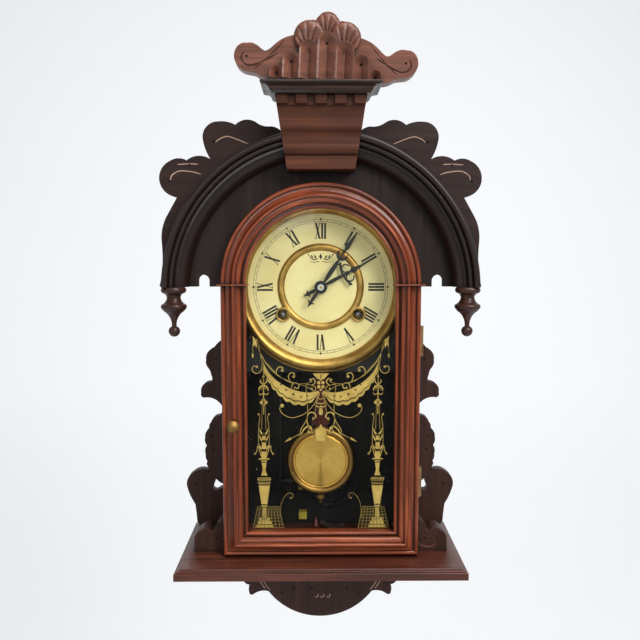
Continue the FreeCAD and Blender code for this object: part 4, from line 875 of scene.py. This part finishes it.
def cutterFrom(bars, name, finish):
    verts, faces = [], []
    for barVerts, barFaces in bars:
        start = len(verts)
        verts += barVerts
        faces += [[start + index for index in face] for face in barFaces]
    return placed(name, meshFrom(name, verts, faces, finish, weld=False))


# cut grooves or pits into a piece; the cut faces take their own finish
def carve(board, bars, finish="carved"):
    cutter = cutterFrom(bars, board.name + "Cutter", finish)
    step = board.modifiers.new("grooves", "BOOLEAN")
    step.object = cutter
    step.operation = "DIFFERENCE"
    step.solver = "EXACT"
    step.use_self = True
    step.material_mode = "TRANSFER"
    graph = bpy.context.evaluated_depsgraph_get()
    cut = bpy.data.meshes.new_from_object(board.evaluated_get(graph))
    board.modifiers.clear()
    board.data = cut
    bpy.data.objects.remove(cutter)


# a piece with a CAD node's shape, welded, that stands for it
def copyOf(node, name):
    source = nodes[node]
    mesh = source.data.copy()
    mesh.name = name
    welded = bmesh.new()
    welded.from_mesh(mesh)
    bmesh.ops.remove_doubles(welded, verts=welded.verts, dist=2e-6)
    bmesh.ops.dissolve_limit(welded, angle_limit=math.radians(0.5), verts=welded.verts, edges=welded.edges)
    welded.to_mesh(mesh)
    welded.free()
    piece = placed(name, mesh)
    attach(piece, source["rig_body"])
    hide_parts(node)
    return piece


def softenEdges(piece, width, segments=2):
    step = piece.modifiers.new("soften", "BEVEL")
    step.width = width * mm
    step.segments = segments
    step.limit_method = "ANGLE"
    step.angle_limit = math.radians(40)


earLines = [[(72.4, 143.4), (83.5, 147.8), (93.5, 150.6), (101.4, 147.8), (105.0, 144.6)],
            [(122.6, 123.4), (131.0, 123.8), (143.2, 123.1)],
            [(119.8, 113.4), (128.7, 116.0), (141.1, 116.7), (148.6, 112.7), (150.6, 107.6)]]
bracketLine = [(110.8, -263.4), (113.6, -262.0), (117.4, -262.0), (121.0, -265.2), (121.6, -269.4),
               (118.0, -272.8), (112.6, -273.6), (106.0, -271.4), (100.4, -267.2)]
apronLines = [[(66.6, -347.0), (63.4, -352.6), (58.4, -359.0)],
              [(70.4, -347.4), (67.6, -352.6), (64.0, -357.4)]]
apronCurls = [[(x + dx, -365.4 + dz) for dx, dz in ((-2.2, -1.2), (-0.6, -2.2), (1.4, -1.4), (2.0, 0.6),
                                                  (1.0, 1.8))] for x in (-4.3, 2.4, 9.6)]
ornamentLines = [[(106.0, z), (111.0, z), (reach, z)]
                 for z, reach in ((-96.2, 122.0), (-160.5, 119.0), (-174.0, 123.4), (-189.5, 122.0))]
# cut radii, and how far the boards' edges are rounded
carving = {"ears": 0.6, "brackets": 0.42, "ornaments": 0.45, "apron": 0.6, "edge": 0.5}


def bothSides(lines):
    return lines + mirror(lines)


def carvedBoard(node, name, lines, face, radius, finish="carved"):
    board = copyOf(node, name)
    carve(board, [tubeAlong(line, face, radius) for line in lines], finish)
    softenEdges(board, carving["edge"])


def makeCarvedBoards():
    p = carving
    carvedBoard("hood_ears", "carvedEars", bothSides(earLines), earFace, p["ears"])
    carvedBoard("scroll_brackets", "carvedBrackets", bothSides([bracketLine]), bracketFace,
                p["brackets"], "scored")
    carvedBoard("side_ornaments", "carvedOrnaments", bothSides(ornamentLines), wallFace,
                p["ornaments"], "scored")
    carvedBoard("bottom_apron", "carvedApron", bothSides(apronLines) + apronCurls, wallFace,
                p["apron"])


makeCarvedBoards()
print("boards carved")


crest = {"foot": 195.1, "boardFront": 9.0, "boardThick": 15.0, "wingRound": 1.6, "flute": 6.4,
         "fluteStep": 0.35, "fluteRound": 0.5, "lip": 0.5, "shellThick": 9.0,
         "lean": 2.5, "leanAbout": 52.0, "shift": 4.0, "rise": 0.1}
# middle, half width and top of each flute; then the wings' right edge from foot to peak
flutes = [(0, 8.9, 238.4), (17.1, 8.7, 230.6), (33, 8.1, 219.6), (46.6, 6.5, 206.5)]
crestEdge = [(56, 195.4), (60, 196.4), (64, 198.2), (67.4, 200.0), (71, 200.6), (79.0, 202.2), (85.2, 207.4),
             (87.6, 215.0), (85.4, 222.4), (80.6, 226.4), (76, 227.0), (70.6, 227.2), (65.4, 225.0),
             (60.8, 221.6), (57.5, 220.6), (53.4, 223.0), (48.5, 227.6), (43.6, 231.4), (39.4, 233.6),
             (34, 235.6), (28.6, 237), (27.4, 242.0), (24.0, 247.0), (18.5, 249.6), (14, 250.9),
             (10.6, 250.4), (8.4, 254.6), (4.8, 257.8), (0, 258.9)]
carvedLines = [([(78.4, 218.4), (80.8, 213.6), (78.0, 208.0), (71.4, 206.2), (62.4, 209.4), (54.0, 213.8),
                 (46.4, 218.6)], 0.9), ([(40.6, 230.6), (49.0, 221.0), (58.6, 211.4), (68.0, 203.2)], 0.6)]
wingEye = {"x": 75.6, "z": 214.6, "radius": 1.5, "deep": 2.0}
fluteEye = {"below": 0.8, "radius": 1.5, "deep": 1.6}
crestLobes = [{"x": -16.6, "z": 235.4, "radius": 15.2, "rise": 3.4, "lean": -14, "back": -0.4},
              {"x": 17.0, "z": 235.4, "radius": 15.2, "rise": 3.4, "lean": 14, "back": -0.4},
              {"x": 0, "z": 245.6, "radius": 12.6, "rise": 2.4, "lean": 0, "back": 0.6}]


# the crest's slight lean, about its right foot
def leanBack(piece):
    about = spot(crest["leanAbout"], 0, crest["foot"])
    turn = (Matrix.Translation(Vector((crest["shift"], 0, crest["rise"])) * mm) @ Matrix.Translation(about)
            @ Matrix.Rotation(math.radians(crest["lean"]), 4, "Y") @ Matrix.Translation(-about))
    piece.data.transform(turn)


# one round-topped flute: a V hollow about its middle line
def fluteShape(middle, half, top, front, deep, thick, rings=5, steps=14):
    bend = top - half
    lines = []
    for k in range(rings + 1):
        r = half * k / rings
        y = front + (deep * (1 - k / rings) if k < rings else crest["lip"])
        line = [(middle - r, y, crest["foot"]), (middle - r, y, bend)]
        for s in range(1, steps):
            a = math.pi * s / steps
            line.append((middle - r * math.cos(a), y, bend + r * math.sin(a)))
        line += [(middle + r, y, bend), (middle + r, y, crest["foot"])]
        lines.append(line)
    lines.append([(x, front + thick, z) for x, y, z in lines[-1]])
    verts = [spot(*p) for line in lines for p in line]
    count = len(lines[0])
    faces = []
    for k in range(len(lines) - 1):
        for s in range(count - 1):
            a = k * count + s
            faces.append([a, a + 1, a + 1 + count, a + count])
    last = (len(lines) - 1) * count
    faces.append([last + s for s in range(count)])
    firsts = [k * count for k in range(len(lines))]
    faces.append(firsts + [k + count - 1 for k in firsts[::-1]])
    return verts, faces


leafLook = {"veins": (-30, -12, 6, 26), "veinWidth": 5.0, "veinDeep": 1.7, "spread": 66, "roll": 0.86,
            "thick": 5.0}


# a shell-like lobe with veins that run out from its foot
def leafLobe(x, z, radius, front, rise, lean=0.0, rays=67, rings=11):
    p = leafLook
    foot = Vector((x, z - radius * 0.98))
    offset = foot - Vector((x, z))
    verts, faces = [], []
    for k in range(rings + 1):
        t = k / rings
        for s in range(rays):
            own = -p["spread"] + 2 * p["spread"] * s / (rays - 1)
            angle = math.radians(own + lean)
            way = Vector((math.sin(angle), math.cos(angle)))
            reach = -offset.dot(way) + math.sqrt(max(offset.dot(way) ** 2 - offset.length_squared
                                                     + radius ** 2, 0))
            at = foot + way * reach * t
            vein = max(max(0.0, 1 - abs(own - line) / p["veinWidth"]) for line in p["veins"])
            grooveShade = p["veinDeep"] * vein * math.sin(math.pi * min(1.0, 0.25 + t * 0.75))
            roll = rise * max(0.0, (t - p["roll"]) / (1 - p["roll"])) ** 2
            swell = rise * (0.55 + 0.45 * math.sin(math.pi * t * 0.8))
            verts.append(spot(at.x, front - swell + roll + grooveShade, at.y))
    top = rings * rays
    base = len(verts)
    for s in range(rays):
        verts.append(Vector((verts[top + s].x, (front + p["thick"]) * mm, verts[top + s].z)))
    back = len(verts)
    verts.append(spot(foot.x, front + p["thick"], foot.y))
    for k in range(rings):
        for s in range(rays - 1):
            a = k * rays + s
            faces.append([a, a + 1, a + 1 + rays, a + rays])
    for s in range(rays - 1):
        faces.append([top + s, top + s + 1, base + s + 1, base + s])
        faces.append([base + s, base + s + 1, back])
    for s in (0, rays - 1):
        faces.append([k * rays + s for k in range(rings + 1)] + [base + s, back])
    return verts, faces


def makeCrest():
    boardFront = crestFace + crest["boardFront"]
    stands = ("crest_board",)
    half = flow(crestEdge, 4)
    verts, faces = plates([half + [(-x, z) for x, z in half[-2::-1]]], boardFront, crest["boardThick"])
    wings = addPiece("crestWings", verts, faces, "crest", "case", stands=stands)
    carve(wings, [tubeAlong([(side * x, z) for x, z in line], boardFront, size)
                  for side in (-1, 1) for line, size in carvedLines], "scored")
    eye = wingEye
    carve(wings, [pitAt(side * eye["x"], eye["z"], boardFront, eye["radius"], eye["deep"])
                  for side in (-1, 1)], "pitShade")
    softenEdges(wings, crest["wingRound"], 3)
    leanBack(wings)
    for k, p in enumerate(crestLobes):
        verts, faces = leafLobe(p["x"], p["z"], p["radius"], boardFront + p["back"], p["rise"], p["lean"])
        lobe = addPiece("crestLeaf" + str(k + 1), verts, faces, "crest", "case", True, stands)
        leanBack(lobe)
    eye = fluteEye
    for k, (x, half, top) in enumerate(flutes):
        for side in ((1,) if x == 0 else (-1, 1)):
            front = crestFace + crest["fluteStep"] * k
            verts, faces = fluteShape(side * x, half, top, front, crest["flute"], crest["shellThick"])
            name = "crestFlute" + ("M" if x == 0 else "LR"[side > 0]) + str(k)
            flute = addPiece(name, verts, faces, "crest", "case", stands=stands)
            carve(flute, [pitAt(side * x, top - half - eye["below"], front + crest["flute"], eye["radius"],
                                eye["deep"])], "pitShade")
            softenEdges(flute, crest["fluteRound"])
            leanBack(flute)


makeCrest()
print("crest carved")


cameraPlace = {"x": -6.9, "y": -770.0, "z": 31.0, "down": 5.35, "right": 0.51, "lens": 37.86}


def makeCamera():
    p = cameraPlace
    data = bpy.data.cameras.new("camera")
    data.lens = p["lens"]
    data.sensor_width = 36.0
    data.clip_start = 0.01
    camera = placed("camera", data)
    camera.location = spot(p["x"], p["y"], p["z"])
    camera.rotation_euler = (math.radians(90 - p["down"]), 0, math.radians(-p["right"]))
    bpy.context.scene.camera = camera


lamps = {  # place, size, power and tint
    "keyRight": ((1.1, -1.5, 0.9), 0.9, 36.0, (1.0, 0.99, 0.98)),
    "topSoft": ((0.45, -0.7, 1.5), 1.0, 27.0, (1.0, 1.0, 1.0)),
    "frontSoft": ((-0.25, -2.0, 0.25), 0.5, 6.0, (1.0, 1.0, 1.0)),
    "leftFill": ((-1.5, -1.3, 0.1), 1.3, 4.0, (0.98, 0.99, 1.0)),
}


def makeLights():
    target = spot(0, 0, -60)
    for name, (at, size, power, tint) in lamps.items():
        data = bpy.data.lights.new(name, "AREA")
        data.energy = power
        data.size = size
        data.color = tint
        light = placed(name, data)
        light.location = at
        light.rotation_euler = (target - Vector(at)).to_track_quat("-Z", "Y").to_euler()


surroundings = {"floor": -1.75, "back": 2.6, "bend": 1.0, "half": 6.0, "front": -4.0, "top": 3.5,
                "ambient": 0.38, "glow": 0.27}


def makeSurroundings():
    s = surroundings
    profile = [(s["front"], s["floor"]), (s["back"] - s["bend"], s["floor"])]
    profile += [(s["back"] - s["bend"] + s["bend"] * math.sin(math.radians(a)),
                 s["floor"] + s["bend"] - s["bend"] * math.cos(math.radians(a))) for a in range(10, 91, 10)]
    profile.append((s["back"], s["top"]))
    verts = [(x, y, z) for y, z in profile for x in (-s["half"], s["half"])]
    faces = [[2 * k, 2 * k + 1, 2 * k + 3, 2 * k + 2] for k in range(len(profile) - 1)]
    mesh = bpy.data.meshes.new("sweep")
    mesh.from_pydata(verts, [], faces)
    mesh.polygons.foreach_set("use_smooth", [True] * len(mesh.polygons))
    f = Finish("sweepPaper")
    f.set(Base_Color=paint(236, 237, 238), Roughness=0.9, Emission_Color=paint(244, 246, 248),
          Emission_Strength=s["glow"])
    mesh.materials.append(f.material)
    placed("sweep", mesh)
    world = bpy.data.worlds.new("room")
    bpy.context.scene.world = world
    world.use_nodes = True
    world.node_tree.nodes["Background"].inputs[0].default_value = paint(240, 243, 246)
    world.node_tree.nodes["Background"].inputs[1].default_value = s["ambient"]
    bpy.context.scene.view_settings.view_transform = "Standard"


makeCamera()
makeLights()
makeSurroundings()
print("camera and lights set")

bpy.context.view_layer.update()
